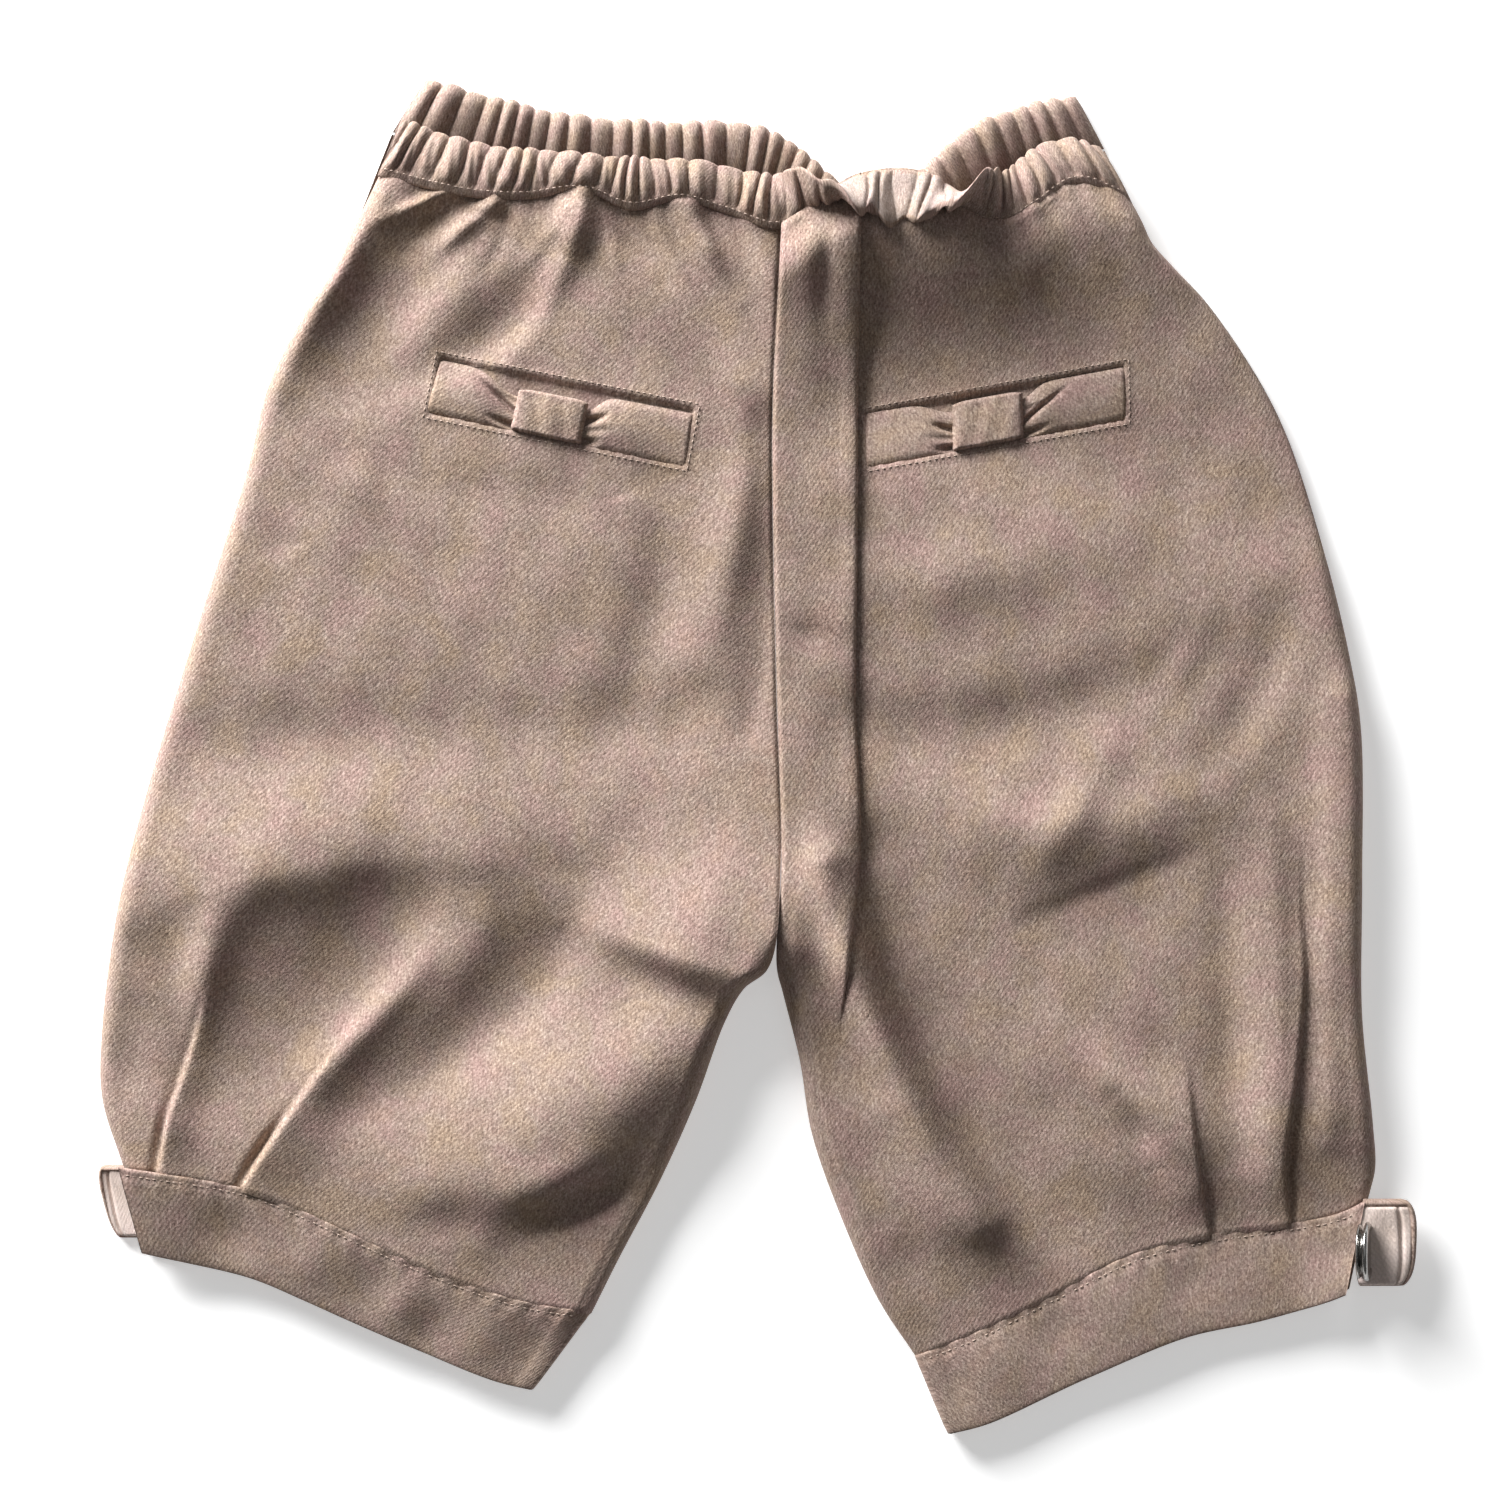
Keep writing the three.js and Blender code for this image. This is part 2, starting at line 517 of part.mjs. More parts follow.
// One back of a leg: the upper layer, rounded over at its side and, below the crotch, at its inseam.
function backWall(name, half, material) {
  const plan = legPlan(half.inner, half.side, shifted(half.waist, 0, -SEAM), half.cuff);
  const outer = [];
  const inner = [];
  range(BACK_ROWS).forEach((share) => {
    const v = share * LAST_ROW;
    const width = distanceBetween(plan(0, v), plan(1, v));
    const open = smooth(half.crotch - CROTCH_EASE, half.crotch + CROTCH_EASE, v); // 1 along the inseam
    const edge = (turn, round) => ({ away: round * (1 - Math.sin(radians(turn))), turn });
    const inside = EDGE_TURNS.map((turn) => edge(turn, lerp(SEAM_EDGE, SIDE_ROUND, open)));
    const outside = EDGE_TURNS.map((turn) => edge(turn, SIDE_ROUND));
    const first = inside.at(-1).away / width;
    const last = 1 - outside.at(-1).away / width;
    const columns = [
      ...inside.map(({ away, turn }) => ({ u: away / width, turn: -turn * open })),
      ...middleColumns(half, plan, v, first, last).map((u) => ({ u, turn: 0 })),
      ...outside.map(({ away, turn }) => ({ u: 1 - away / width, turn })).reverse(),
    ];
    const outerRow = [];
    const innerRow = [];
    columns.forEach(({ u, turn }) => {
      const [x, y] = plan(u, v);
      const sway = radians(turn);
      const z = RIM_LEVEL + (backLevel(half, x, y, v) - RIM_LEVEL) * Math.cos(sway);
      const inset = CLOTH * Math.sin(sway) * half.outward;
      outerRow.push([x, y, z]);
      innerRow.push([x - inset, y, Math.max(RIM_LEVEL, z - CLOTH * Math.cos(sway))]);
    });
    outer.push(outerRow);
    inner.push(innerRow);
  });
  const mesh = wall(name, outer, inner, material);
  mesh.userData.grid = outer;
  return mesh;
}

// Columns between the two rounded edges. On the right half they crowd at the lap's free edge.
function middleColumns(half, plan, v, first, last) {
  const spread = (from, to, count) => range(count + 2).slice(1, -1).map((k) => lerp(from, to, k));
  if (half.outward < 0) return spread(first, last, BACK_COLUMNS);
  const [from, to] = [plan(0, v), plan(1, v)];
  const share = (x) => (x - from[0]) / (to[0] - from[0]);
  const edge = Math.max(lapEdgeX(plan(LAP_SHARE, v)[1]), from[0] + SIDE_ROUND + LAP_COLUMNS.at(-1));
  const steps = LAP_COLUMNS.map((offset) => share(edge + offset));
  const after = spread(steps.at(-1), last, BACK_COLUMNS - LAP_COLUMNS.length - 1);
  return [...spread(first, steps[0], 1), ...steps, ...after];
}

// One front of a leg: the lower layer, flat on the surface, its edge turned up a little.
function frontWall(name, half, waistPoints, material) {
  const plan = legPlan(half.inner, half.side, waistPoints, half.cuff);
  const inside = FRONT_EDGE.at(-1);
  const outer = [];
  const inner = [];
  range(FRONT_ROWS).forEach((share) => {
    const v = share * LAST_ROW;
    const width = distanceBetween(plan(0, v), plan(1, v));
    const middle = range(FRONT_COLUMNS + 2).slice(1, -1);
    const columns = [
      ...FRONT_EDGE.map((away) => ({ u: away / width, away })),
      ...middle.map((k) => ({ u: lerp(inside / width, 1 - inside / width, k), away: inside })),
      ...FRONT_EDGE.map((away) => ({ u: 1 - away / width, away })).reverse(),
    ];
    const places = columns.map(({ u }) => plan(u, v));
    const lifts = columns.map(({ away }) => FRONT_LIFT * (1 - smooth(0, FRONT_LIFT_REACH, away)));
    outer.push(places.map(([x, y], i) => [x, y, lifts[i]]));
    inner.push(places.map(([x, y]) => [x, y, CLOTH]));
  });
  return wall(name, outer, inner, material);
}

// Gathers along an elastic band: 0.5 on a ridge and -0.5 in a crease, unevenly spaced.
function gathers(distance, phase) {
  const drift = GATHER_DRIFT.reduce((sum, { size, rate, turns }) =>
    sum + size * Math.sin(distance * rate + turns * phase), 0);
  const wave = Math.abs(Math.sin((Math.PI * (distance + drift)) / GATHER_PITCH));
  return wave ** GATHER_SHARPNESS - 0.5;
}
const gatherStations = (total) => Math.round((total / GATHER_PITCH) * BAND_STEPS_PER_GATHER) + 1;

// The band round the back of the waist, which lies on the front band and is rolled outwards in one place.
function backBand(name, material) {
  const hinges = BACK_BAND.map(({ at }) => at);
  const hinge = curveThrough(hinges);
  const total = lengthOf(hinges);
  const shares = hinges.map((_, i) => lengthOf(hinges.slice(0, i + 1)) / total);
  const column = (key) => numberThrough(BACK_BAND.map((row) => row[key]), shares);
  const [level, roll, slant] = [column("level"), column("roll"), column("slant")];
  const outer = [];
  const inner = [];
  range(gatherStations(total)).forEach((share) => {
    const here = hinge(share);
    const run = heading(hinge(share - BACK_BAND_REACH), hinge(share + BACK_BAND_REACH));
    const up = mix([0, 1], [-run[1], run[0]], BAND_FAN);
    const lean = radians(roll(share));
    const height = BAND_HEIGHT * (1 - BAND_CRUMPLE * Math.sin(lean));
    const ridge = gathers(share * total, BACK_GATHERS);
    const outerRow = [];
    const innerRow = [];
    range(BAND_ROWS).forEach((k) => {
      const full = Math.sin(Math.PI * lerp(BAND_EDGE, 1 - BAND_EDGE, k));
      const half = (BAND_THICK / 2) * lerp(BAND_EDGE_THICK, 1, full);
      const reach = height * k + (k === 1 ? GATHER_RISE.edge * ridge : 0);
      const bow = BAND_BOW * Math.sin(Math.PI * k);
      const point = (away) => {
        const plan = reach * Math.cos(lean) - (bow + away) * Math.sin(lean);
        const z = level(share) + reach * Math.sin(lean) + (bow + away) * Math.cos(lean);
        return [here[0] + up[0] * plan + slant(share) * k, here[1] + up[1] * plan, z];
      };
      outerRow.push(point(half + GATHER_RISE.outer * ridge * lerp(0.5, 1, full)));
      innerRow.push(point(-half - GATHER_RISE.inner * ridge));
    });
    outer.push(outerRow);
    inner.push(innerRow);
  });
  return wall(name, outer, inner, material);
}

// A point of the band round the front, at a share of its top edge and a distance down from it.
const frontBandTop = curveThrough(LINES.frontBandTop);
function frontBandLine(share, down) {
  const here = frontBandTop(share);
  const run = heading(frontBandTop(share - FRONT_BAND_REACH), frontBandTop(share + FRONT_BAND_REACH));
  const toEnd = Math.abs(2 * share - 1) ** 3;
  const slant = lerp(FRONT_BAND_SLANT.left, FRONT_BAND_SLANT.right, share) * (down / BAND_HEIGHT) * toEnd;
  const fan = run[1] * down * FRONT_BAND_FAN;
  return [here[0] + fan + slant, here[1] - down * lerp(1, run[0], 0.5)];
}

// The band round the front of the waist, flat on the surface with its gathers uppermost.
function frontBand(name, material) {
  const total = lengthOf(LINES.frontBandTop);
  const outer = [];
  const inner = [];
  range(gatherStations(total)).forEach((share) => {
    const ridge = gathers(share * total, FRONT_GATHERS);
    const line = range(BAND_ROWS).map((k) => frontBandLine(share, BAND_HEIGHT * k));
    const level = (k) => FRONT_BAND_TOP.edge + FRONT_BAND_TOP.crown * Math.sin(Math.PI * k);
    const levels = range(BAND_ROWS).map((k) => level(k) + GATHER_RISE.front * ridge);
    outer.push(line.map((at, i) => [...at, levels[i]]));
    inner.push(line.map((at) => [...at, 0]));
  });
  return wall(name, outer, inner, material);
}

// A cuff: one doubled strip folded round the inside of the leg, its two ends at the side.
function cuff(name, half, end, material) {
  const seam = curveThrough(half.cuff);
  const hem = curveThrough(half.hem);
  const round = CUFF_LEVEL / 2;
  const strip = [
    ...range(CUFF_COLUMNS).map((k) => ({ along: lerp(end.stop, CUFF_TURN_SHARE, k), turn: 0 })),
    ...CUFF_TURNS.map((turn) => ({ along: 0, turn })),
    ...range(CUFF_UNDER_COLUMNS).map((k) => ({ along: lerp(CUFF_TURN_SHARE, 1, k), turn: 180 })),
  ];
  const face = (down, radius) => {
    const across = (along) => mix(seam(along), hem(along), down);
    const width = distanceBetween(across(0), across(1));
    const inward = heading(across(0), across(CUFF_HEADING_SHARE));
    const gap = down === 0 ? SEAM : 0;
    return strip.map(({ along, turn }) => {
      const sway = radians(turn);
      const inset = along > 0 ? 0 : round - radius * Math.sin(sway);
      const base = across(along);
      const rise = smooth(end.from, 1, along) * end.rise;
      const eased = CUFF_WAVE * smooth(0, CUFF_WAVE_EASE, along);
      const wave = eased * Math.sin(along * width * CUFF_WAVE_RATE + 1);
      const lift = turn === 0 ? rise + wave : 0;
      const level = round + radius * Math.cos(sway) + lift;
      return [base[0] + inward[0] * inset, base[1] + inward[1] * inset - gap, level];
    });
  };
  const outer = range(CUFF_ROWS).map((down) => face(down, round));
  const inner = range(CUFF_ROWS).map((down) => face(down, round - CUFF_THICK));
  return wall(name, outer, inner, material);
}

// Level of a back's facets over a point.
function facetLevel(grid, x, y) {
  const inside = (a, b, c) => {
    const area = (b[0] - a[0]) * (c[1] - a[1]) - (c[0] - a[0]) * (b[1] - a[1]);
    const first = ((b[0] - x) * (c[1] - y) - (c[0] - x) * (b[1] - y)) / area;
    const second = ((c[0] - x) * (a[1] - y) - (a[0] - x) * (c[1] - y)) / area;
    const third = 1 - first - second;
    const within = Math.min(first, second, third) >= -ON_EDGE;
    return within ? first * a[2] + second * b[2] + third * c[2] : null;
  };
  for (let r = 0; r < grid.length - 1; r += 1) {
    for (let c = 0; c < grid[0].length - 1; c += 1) {
      const [a, b, d, e] = [grid[r][c], grid[r + 1][c], grid[r + 1][c + 1], grid[r][c + 1]];
      const found = inside(a, b, d) ?? inside(a, d, e);
      if (found !== null) return found;
    }
  }
  throw new Error(`no panel at ${x.toFixed(1)}, ${y.toFixed(1)}`);
}

// A point of a pocket window, by shares of the way along it and down it.
function windowPoint(pocket, along, down) {
  const upper = mix(pocket.top[0], pocket.top[1], along);
  const lower = mix(pocket.bottom[0], pocket.bottom[1], along);
  return mix(upper, lower, down);
}

// A pocket welt, drawn in at its loop like a bow, laid on the back.
function welt(name, pocket, back, material) {
  const outer = [];
  const inner = [];
  range(WELT_ROWS).forEach((down) => {
    const outerRow = [];
    const innerRow = [];
    range(WELT_COLUMNS).forEach((along) => {
      const near = bell(along - pocket.loopAt, PINCH_REACH);
      const top = WELT_PINCH * near * lerp(1, PINCH_SPREAD, down);
      const bottom = 1 - WELT_PINCH_BELOW * near;
      const [x, y] = windowPoint(pocket, along, lerp(top, bottom, down));
      const level = facetLevel(back.userData.grid, x, y) + WELT_GAP;
      const puff = WELT_PUFF * Math.sin(Math.PI * down) * (1 - bell(along - pocket.loopAt, PUFF_REACH));
      outerRow.push([x, y, level + WELT_THICK + puff]);
      innerRow.push([x, y, level]);
    });
    outer.push(outerRow);
    inner.push(innerRow);
  });
  return wall(name, outer, inner, material);
}

// The cloth loop that draws the welt in.
function weltLoop(name, pocket, back, material) {
  const half = LOOP_WIDTH / 2 / distanceBetween(pocket.top[0], pocket.top[1]);
  const outer = [];
  const inner = [];
  range(LOOP_ROWS).forEach((down) => {
    const outerRow = [];
    const innerRow = [];
    range(LOOP_COLUMNS).forEach((across) => {
      const along = pocket.loopAt + lerp(-half, half, across);
      const [x, y] = windowPoint(pocket, along, lerp(WELT_PINCH * LOOP_TOP, LOOP_BOTTOM, down));
      const base = facetLevel(back.userData.grid, x, y) + WELT_GAP + WELT_THICK + LOOP_GAP;
      const puff = LOOP_PUFF * Math.sin(Math.PI * down) * Math.sin(Math.PI * across);
      outerRow.push([x, y, base + LOOP_THICK + puff]);
      innerRow.push([x, y, base]);
    });
    outer.push(outerRow);
    inner.push(innerRow);
  });
  return wall(name, outer, inner, material);
}

// A point of a round-ended tab: across its root and out from it.
function tabPoint(shape, across, out) {
  const round = Math.sqrt(1 - Math.abs(2 * across - 1) ** TAB_CORNER);
  const start = mix(shape.root[0], shape.root[1], across);
  return [start[0] + shape.reach * out * lerp(TAB_SHOULDER, 1, round), start[1]];
}

// The cloth of a tab, its edge rolled up over the facing at the end and along the upper side.
function tab(name, shape, material) {
  const outer = [];
  const inner = [];
  range(TAB_ROWS).forEach((across) => {
    const points = range(TAB_COLUMNS).map((out) => ({ out, at: tabPoint(shape, across, out) }));
    const rolled = (out) => out === 1 || across === 0;
    outer.push(points.map(({ out, at }) => [...at, TAB_CLOTH + (rolled(out) ? TAB_ROLL : 0)]));
    inner.push(points.map(({ at }) => [...at, 0]));
  });
  return wall(name, outer, inner, material);
}

// The pale facing that lies on a tab, inside its rolled edge.
function tabFacing(name, shape, material) {
  const { fromTop, toBottom, fromRoot, toEnd } = FACING_EDGES;
  const bottom = TAB_CLOTH + SEAM;
  const outer = [];
  const inner = [];
  range(FACING_ROWS).forEach((across) => {
    const places = range(FACING_COLUMNS).map((out) =>
      tabPoint(shape, lerp(fromTop, toBottom, across), lerp(fromRoot, toEnd, out)));
    const crease = FACING_CREASE * Math.abs(across - 0.5);
    outer.push(places.map((at, i) => [...at, bottom + TAB_FACING + crease * (i % 2)]));
    inner.push(places.map((at) => [...at, bottom]));
  });
  return wall(name, outer, inner, material);
}

// A press button seen from its side: two flanges on a waist, turned about y and set down at a point.
function pressButton(name, place, material) {
  const half = BUTTON_THICK / 2;
  const profile = BUTTON_PROFILE.map(({ radius, height }) =>
    new THREE.Vector2(BUTTON_RADIUS * radius, half * height));
  const geometry = new THREE.LatheGeometry(profile, BUTTON_SIDES);
  geometry.rotateX(Math.PI / 2);
  geometry.rotateY(radians(place.tilt));
  geometry.translate(...place.at);
  return namedMesh(name, geometry, material);
}

const cloth = new THREE.MeshStandardMaterial({ color: 0xa38d7e, roughness: 0.95, metalness: 0 });
const facing = new THREE.MeshStandardMaterial({ color: 0xcdb8ad, roughness: 0.8, metalness: 0 });
const metal = new THREE.MeshStandardMaterial({ color: 0x8a8c90, roughness: 0.25, metalness: 1 });

const trousers = new THREE.Group();
const backLeft = backWall("back_left", leftHalf, cloth);
const backRight = backWall("back_right", rightHalf, cloth);
trousers.add(backLeft, backRight);

// A front meets the lower edge of the front band, from the centre front seam to the side.
function front(name, half, seamGap, end) {
  const line = (k) => frontBandLine(lerp(CENTRE_FRONT + seamGap, end, k), BAND_HEIGHT);
  const waist = shifted(range(FRONT_WAIST_POINTS).map(line), 0, -FRONT_WAIST_GAP);
  const inner = [waist[0], ...half.inner.slice(1)];
  const side = [waist.at(-1), ...half.side.slice(2)];
  return frontWall(name, { ...half, inner, side }, waist, cloth);
}
trousers.add(front("front_left", leftHalf, -CENTRE_FRONT_GAP, 0));
trousers.add(front("front_right", rightHalf, CENTRE_FRONT_GAP, 1));

trousers.add(backBand("waistband_back", cloth), frontBand("waistband_front", cloth));
trousers.add(cuff("cuff_left", leftHalf, CUFF_ENDS.left, cloth));
trousers.add(cuff("cuff_right", rightHalf, CUFF_ENDS.right, cloth));

Object.entries(POCKETS).forEach(([side, pocket]) => {
  const back = side === "left" ? backLeft : backRight;
  trousers.add(welt(`pocket_welt_${side}`, pocket, back, cloth));
  trousers.add(weltLoop(`pocket_loop_${side}`, pocket, back, cloth));
});

Object.entries(TABS).forEach(([side, shape]) => {
  trousers.add(tab(`cuff_tab_${side}`, shape, cloth), tabFacing(`tab_facing_${side}`, shape, facing));
});
trousers.add(pressButton("press_button", BUTTON_PLACE, metal));

// The part's origin is the middle of the bottom of its box.
const box = new THREE.Box3().setFromObject(trousers);
const middle = box.getCenter(new THREE.Vector3());
trousers.position.set(-middle.x, -middle.y, -box.min.z);

export default trousers;
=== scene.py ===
"""Baby knickerbocker trousers of napped twill, laid flat with the back uppermost.

Each piece of cloth is a fine sheet or tube on the form of the solid that it replaces, with the smaller folds,
gathers, pleats and stitches added. Sizes and places are in millimetres, as x and y with the waist at the top,
and are turned into metres when a mesh is made.
"""
import math

import bpy
import numpy as np
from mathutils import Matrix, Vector


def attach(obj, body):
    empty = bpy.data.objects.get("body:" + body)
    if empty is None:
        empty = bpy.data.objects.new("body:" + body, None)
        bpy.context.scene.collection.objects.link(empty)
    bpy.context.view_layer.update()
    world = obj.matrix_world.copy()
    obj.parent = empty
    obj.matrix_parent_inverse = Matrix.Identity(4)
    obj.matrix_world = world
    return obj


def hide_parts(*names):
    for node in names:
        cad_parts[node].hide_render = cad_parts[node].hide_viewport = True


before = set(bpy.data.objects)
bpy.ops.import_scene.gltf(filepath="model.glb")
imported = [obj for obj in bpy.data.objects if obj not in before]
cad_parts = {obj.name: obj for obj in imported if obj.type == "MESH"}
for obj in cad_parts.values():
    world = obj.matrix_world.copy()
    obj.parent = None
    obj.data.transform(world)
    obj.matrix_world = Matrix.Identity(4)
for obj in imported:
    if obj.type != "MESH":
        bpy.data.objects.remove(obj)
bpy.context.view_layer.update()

MM = 0.001

# The legs: the rounding of their edges, the level of the back without its folds, and the limits of its level
CLOTH = 2.0
SEAM = 0.3
RIM_LEVEL = CLOTH + SEAM
CENTRE_GAP = 0.1
SIDE_ROUND = 5.0
SEAM_ROUND = 3.0
BACK_LEVEL = 6.8
BACK_LOWEST = 4.5  # right at the band
BACK_HIGHEST = 15.0
DRAPE_LOWEST = 2.7  # everywhere else
DRAPE_HIGHEST = 19.0
BAND_HOLD = 0.7  # share of a fold's height that is left where the band holds the cloth
LAP_TOP = 3.2  # height of the lap beside the centre seam
LAP_FOOT = 1.9
LAP_AT = 0.14  # share of the way to the side where the lap's edge is looked for
WEAVE_TILT = 8  # degrees
FRONT_WAIST_MIDDLE = 0.545  # share of the front band where its two halves meet
FRONT_WAIST_GAP = 0.002
FRONT_GAP = 0.2  # how far the front stays from the centre line
FRONT_TUCK = 0.9  # and inside the back's side line
FRONT_ROUND = 3.0

# The bands
BAND_HEIGHT = 13.0
BAND_THICK = 3.4
BAND_FAN = 0.55  # how far the band round the back stands square to its seam, from 0 to 1
BAND_END = 3.0  # length of the rounded ends at the side seams
BAND_FULLNESS = 1.7  # length of the cloth in a band as a share of the gathered length
FRONT_BAND_LEAN = 3.4  # how much higher the top of the front band lies
GATHER_PITCH = 4.6
GATHER_LEAN = 3.2  # sideways lean of the gathers at the left end

# The cuffs
CUFF_LENGTH = 118.0
CUFF_HEIGHT = 21.0
CUFF_THICK = 2.4
CUFF_LEVEL = 2 * CUFF_THICK + 0.8
CUFF_TURN = 0.5  # fullness of the fold at the inner end
CUFF_TILT = {"left": 2.4, "right": -0.4}  # how much higher the seam lies than the hem

# The pockets, the tabs, the button and the stitches
WINDOW_WIDTH = 62.0
WINDOW_DEPTH = 1.3
WINDOW_LIP = 0.15
WELT_HEIGHT = 15.0
LOOP_WIDTH = 17.0
LOOP_HEIGHT = 11.0
TAB_WIDTH = 20.0
TAB_LENGTH = 11.0
TAB_ROOT = -0.35  # where a tab starts in the seam, as a share of its reach
BUTTON_AT = (145.4, -118.4, 9.6)
BUTTON_TILT = 74.0
BUTTON_RADIUS = 7.0
BUTTON_THICK = 3.2
STITCH_PITCH = 1.6
STITCH_LENGTH = 0.95
STITCH_RADIUS = 0.14

# Where the weave starts on the small pieces, so that it differs from the cloth round them
WEAVE_START = {"welt": (0, 300), "loop": (40, 330), "tab": (0, 400), "facing": (0, 440)}

# The outlines in plan of the pieces that show, and the free edge of the lap beside the centre seam
LINES = {
    "centre": [(6, 126), (4, 85), (4, 60), (5, 13), (6, -25), (5, -50.5)],
    "left_inseam": [(3, -50.5), (-3, -56), (-7.5, -64), (-14.5, -83), (-23, -102), (-33, -121), (-39, -133)],
    "right_inseam": [(5, -50.5), (6.5, -57), (10.5, -73), (13.5, -91), (20.5, -111), (29.5, -131),
                     (38, -144)],
    "left_side": [(-91, 139.5), (-96, 129), (-101, 118), (-109, 106), (-117.5, 89), (-122.5, 69), (-134, 33),
                  (-146, -6), (-153.5, -36), (-157.5, -66), (-157.5, -82), (-152.6, -98)],
    "right_side": [(90.4, 133.5), (93, 128.5), (95.4, 123.5), (100, 118.4), (108.8, 109), (121.6, 90),
                   (128.4, 76), (137, 49), (143, 24), (145.7, 6), (145.9, -30), (145.9, -62), (148.5, -88),
                   (149.2, -99), (147.8, -105.5)],
    "left_waist": [(6, 126), (-7, 130), (-18, 133), (-30, 131), (-41, 135), (-56, 133.5), (-70, 134.5),
                   (-91, 139.5)],
    "right_waist": [(6, 126), (11, 129), (17, 133.5), (24, 137.5), (33, 139), (42, 137.5), (47, 133),
                    (53, 128), (60, 127), (67, 131), (77, 136.5), (84, 136), (90.4, 133.5)],
    "left_cuff": [(-39, -133), (-57, -130), (-76, -123.5), (-95, -115), (-110, -108), (-124, -103),
                  (-152.6, -98)],
    "right_cuff": [(38, -144), (54, -137.5), (73, -128), (90, -119.5), (107, -115), (128, -112),
                   (140, -109.5), (147.8, -105.5)],
    "left_hem": [(-53.5, -152.6), (-62, -150.6), (-80, -143.5), (-96, -136.6), (-108.5, -131),
                 (-121, -125.8), (-135, -122.2), (-147.2, -119.3)],
    "right_hem": [(46, -163.2), (56, -160.5), (80, -149.5), (103, -140), (121, -136), (136, -131.5),
                  (143, -128.6)],
    "front_band": [(-79.5, 163.3), (-64, 159.2), (-45, 154.8), (-22, 153), (-2, 152.5), (9, 148), (17, 141),
                   (24, 136.6), (31, 137.6), (40, 141.6), (47, 148.4), (56, 154), (66, 157.2), (77, 159.4)],
    "lap": [(25.5, 139), (25.4, 120), (25, 85), (24.5, 47), (24, 13), (25, -25), (22, -48), (21, -60)],
}

# Folds: start, middle and end, the half-width to the left and right of that way, and the heights at its
# start, middle and end. Creases are narrower ones: puckers under the band, and small dents and rises.
LEFT_FOLDS = [
    # rise and trough across the leg
    ((-150, -36), (-112, -27), (-74, -23), 18, 10, (2.6, 5.2, 2.8)),
    ((-120, -28), (-130, -46), (-137, -66), 6, 7, (0.5, 2.6, 0.3)),
    ((-138, 6), (-97, 4), (-20, 10), 9, 10, (-0.5, -1.7, -1.5)),
    # hollows and ridges that run down to the two pleats
    ((-66, -28), (-68, -44), (-84, -64), 7, 7, (0.6, 1.6, 0.4)),
    ((-87, -38), (-104, -59), (-130, -78), 10, 14, (-3.0, -6.2, -3.0)),
    ((-44, -30), (-58, -58), (-94, -82), 7, 9, (-1.4, -4.6, -2.2)),
    ((-74, -36), (-86, -56), (-104, -74), 5, 6, (0.8, 2.2, 0.8)),
    ((-131, -42), (-132, -58), (-136, -78), 4, 5, (0.8, 2.0, 0.6)),
    ((-79, -50), (-95, -66), (-112, -88), 5, 4, (0.4, 1.8, 0.6)),
    ((-134, -74), (-135, -86), (-136, -100), 5, 5, (-0.6, -1.6, -1.0)),
    ((-106, -84), (-113, -94), (-118, -104), 4, 4, (-0.4, -0.8, -0.4)),
    # broad ridge from the crotch down to the cuff, and the fall inside it
    ((10, -55), (-35, -83), (-84, -118), 18, 20, (3.8, 7.6, 4.4)),
    ((-29, -104), (-42, -110), (-60, -118), 3, 4, (-0.8, -1.8, -0.8)),
    ((-30, -95), (-48, -101), (-66, -112), 4, 5, (0.8, 1.6, 0.6)),
    ((-94, -115), (-74, -113), (-52, -110), 6, 5, (-0.8, -2.4, -1.0)),
    ((-44, -38), (-12, -49), (8, -52), 32, 6, (2.0, 8.4, 7.4)),
    ((-12, -76), (-36, -104), (-62, -126), 9, 7, (-1.0, -2.2, -1.2)),
    ((-150, -62), (-151, -76), (-151, -92), 5, 5, (-0.6, -1.0, -0.4)),
    # puckers that spread from the band
    ((-90, 132), (-103, 113), (-114, 90), 6, 6, (2.2, 4.2, 1.4)),
    ((-76, 128), (-88, 110), (-99, 90), 8, 9, (-3.4, -6.2, -2.6)),
    ((-54, 127), (-70, 113), (-94, 101), 5, 12, (0.2, 0.8, 0.8)),
    ((-46, 119), (-60, 103), (-86, 90), 5, 6, (-2.6, -4.0, -1.8)),
    ((-41, 136), (-46, 118), (-58, 98), 4, 5, (5.0, 4.4, 0.8)),
    ((-42, 130), (-25, 110), (-1, 86), 5, 7, (1.4, 2.4, 1.2)),
    ((-35, 134), (-30, 126), (-22, 115), 3.4, 3.4, (-3.6, -2.8, -0.4)),
    ((-17, 134), (-12, 124), (-4, 110), 3, 4, (4.6, 3.4, 0.6)),
    ((-2, 130), (3, 118), (8, 100), 4, 4, (2.0, 2.2, 0.6)),
    # below the pocket and beside the seam
    ((-92, 70), (-70, 64), (-46, 62), 6, 6, (-0.4, -1.0, -0.6)),
    ((-22, 64), (-24, 36), (-32, 8), 7, 7, (-1.2, -2.0, -1.0)),
    ((-3, 88), (-5, 52), (-12, 22), 5, 6, (0.8, 2.0, 0.6)),
    ((3, 60), (2, 30), (-2, 6), 3, 5, (-0.6, -1.6, -0.8)),
]
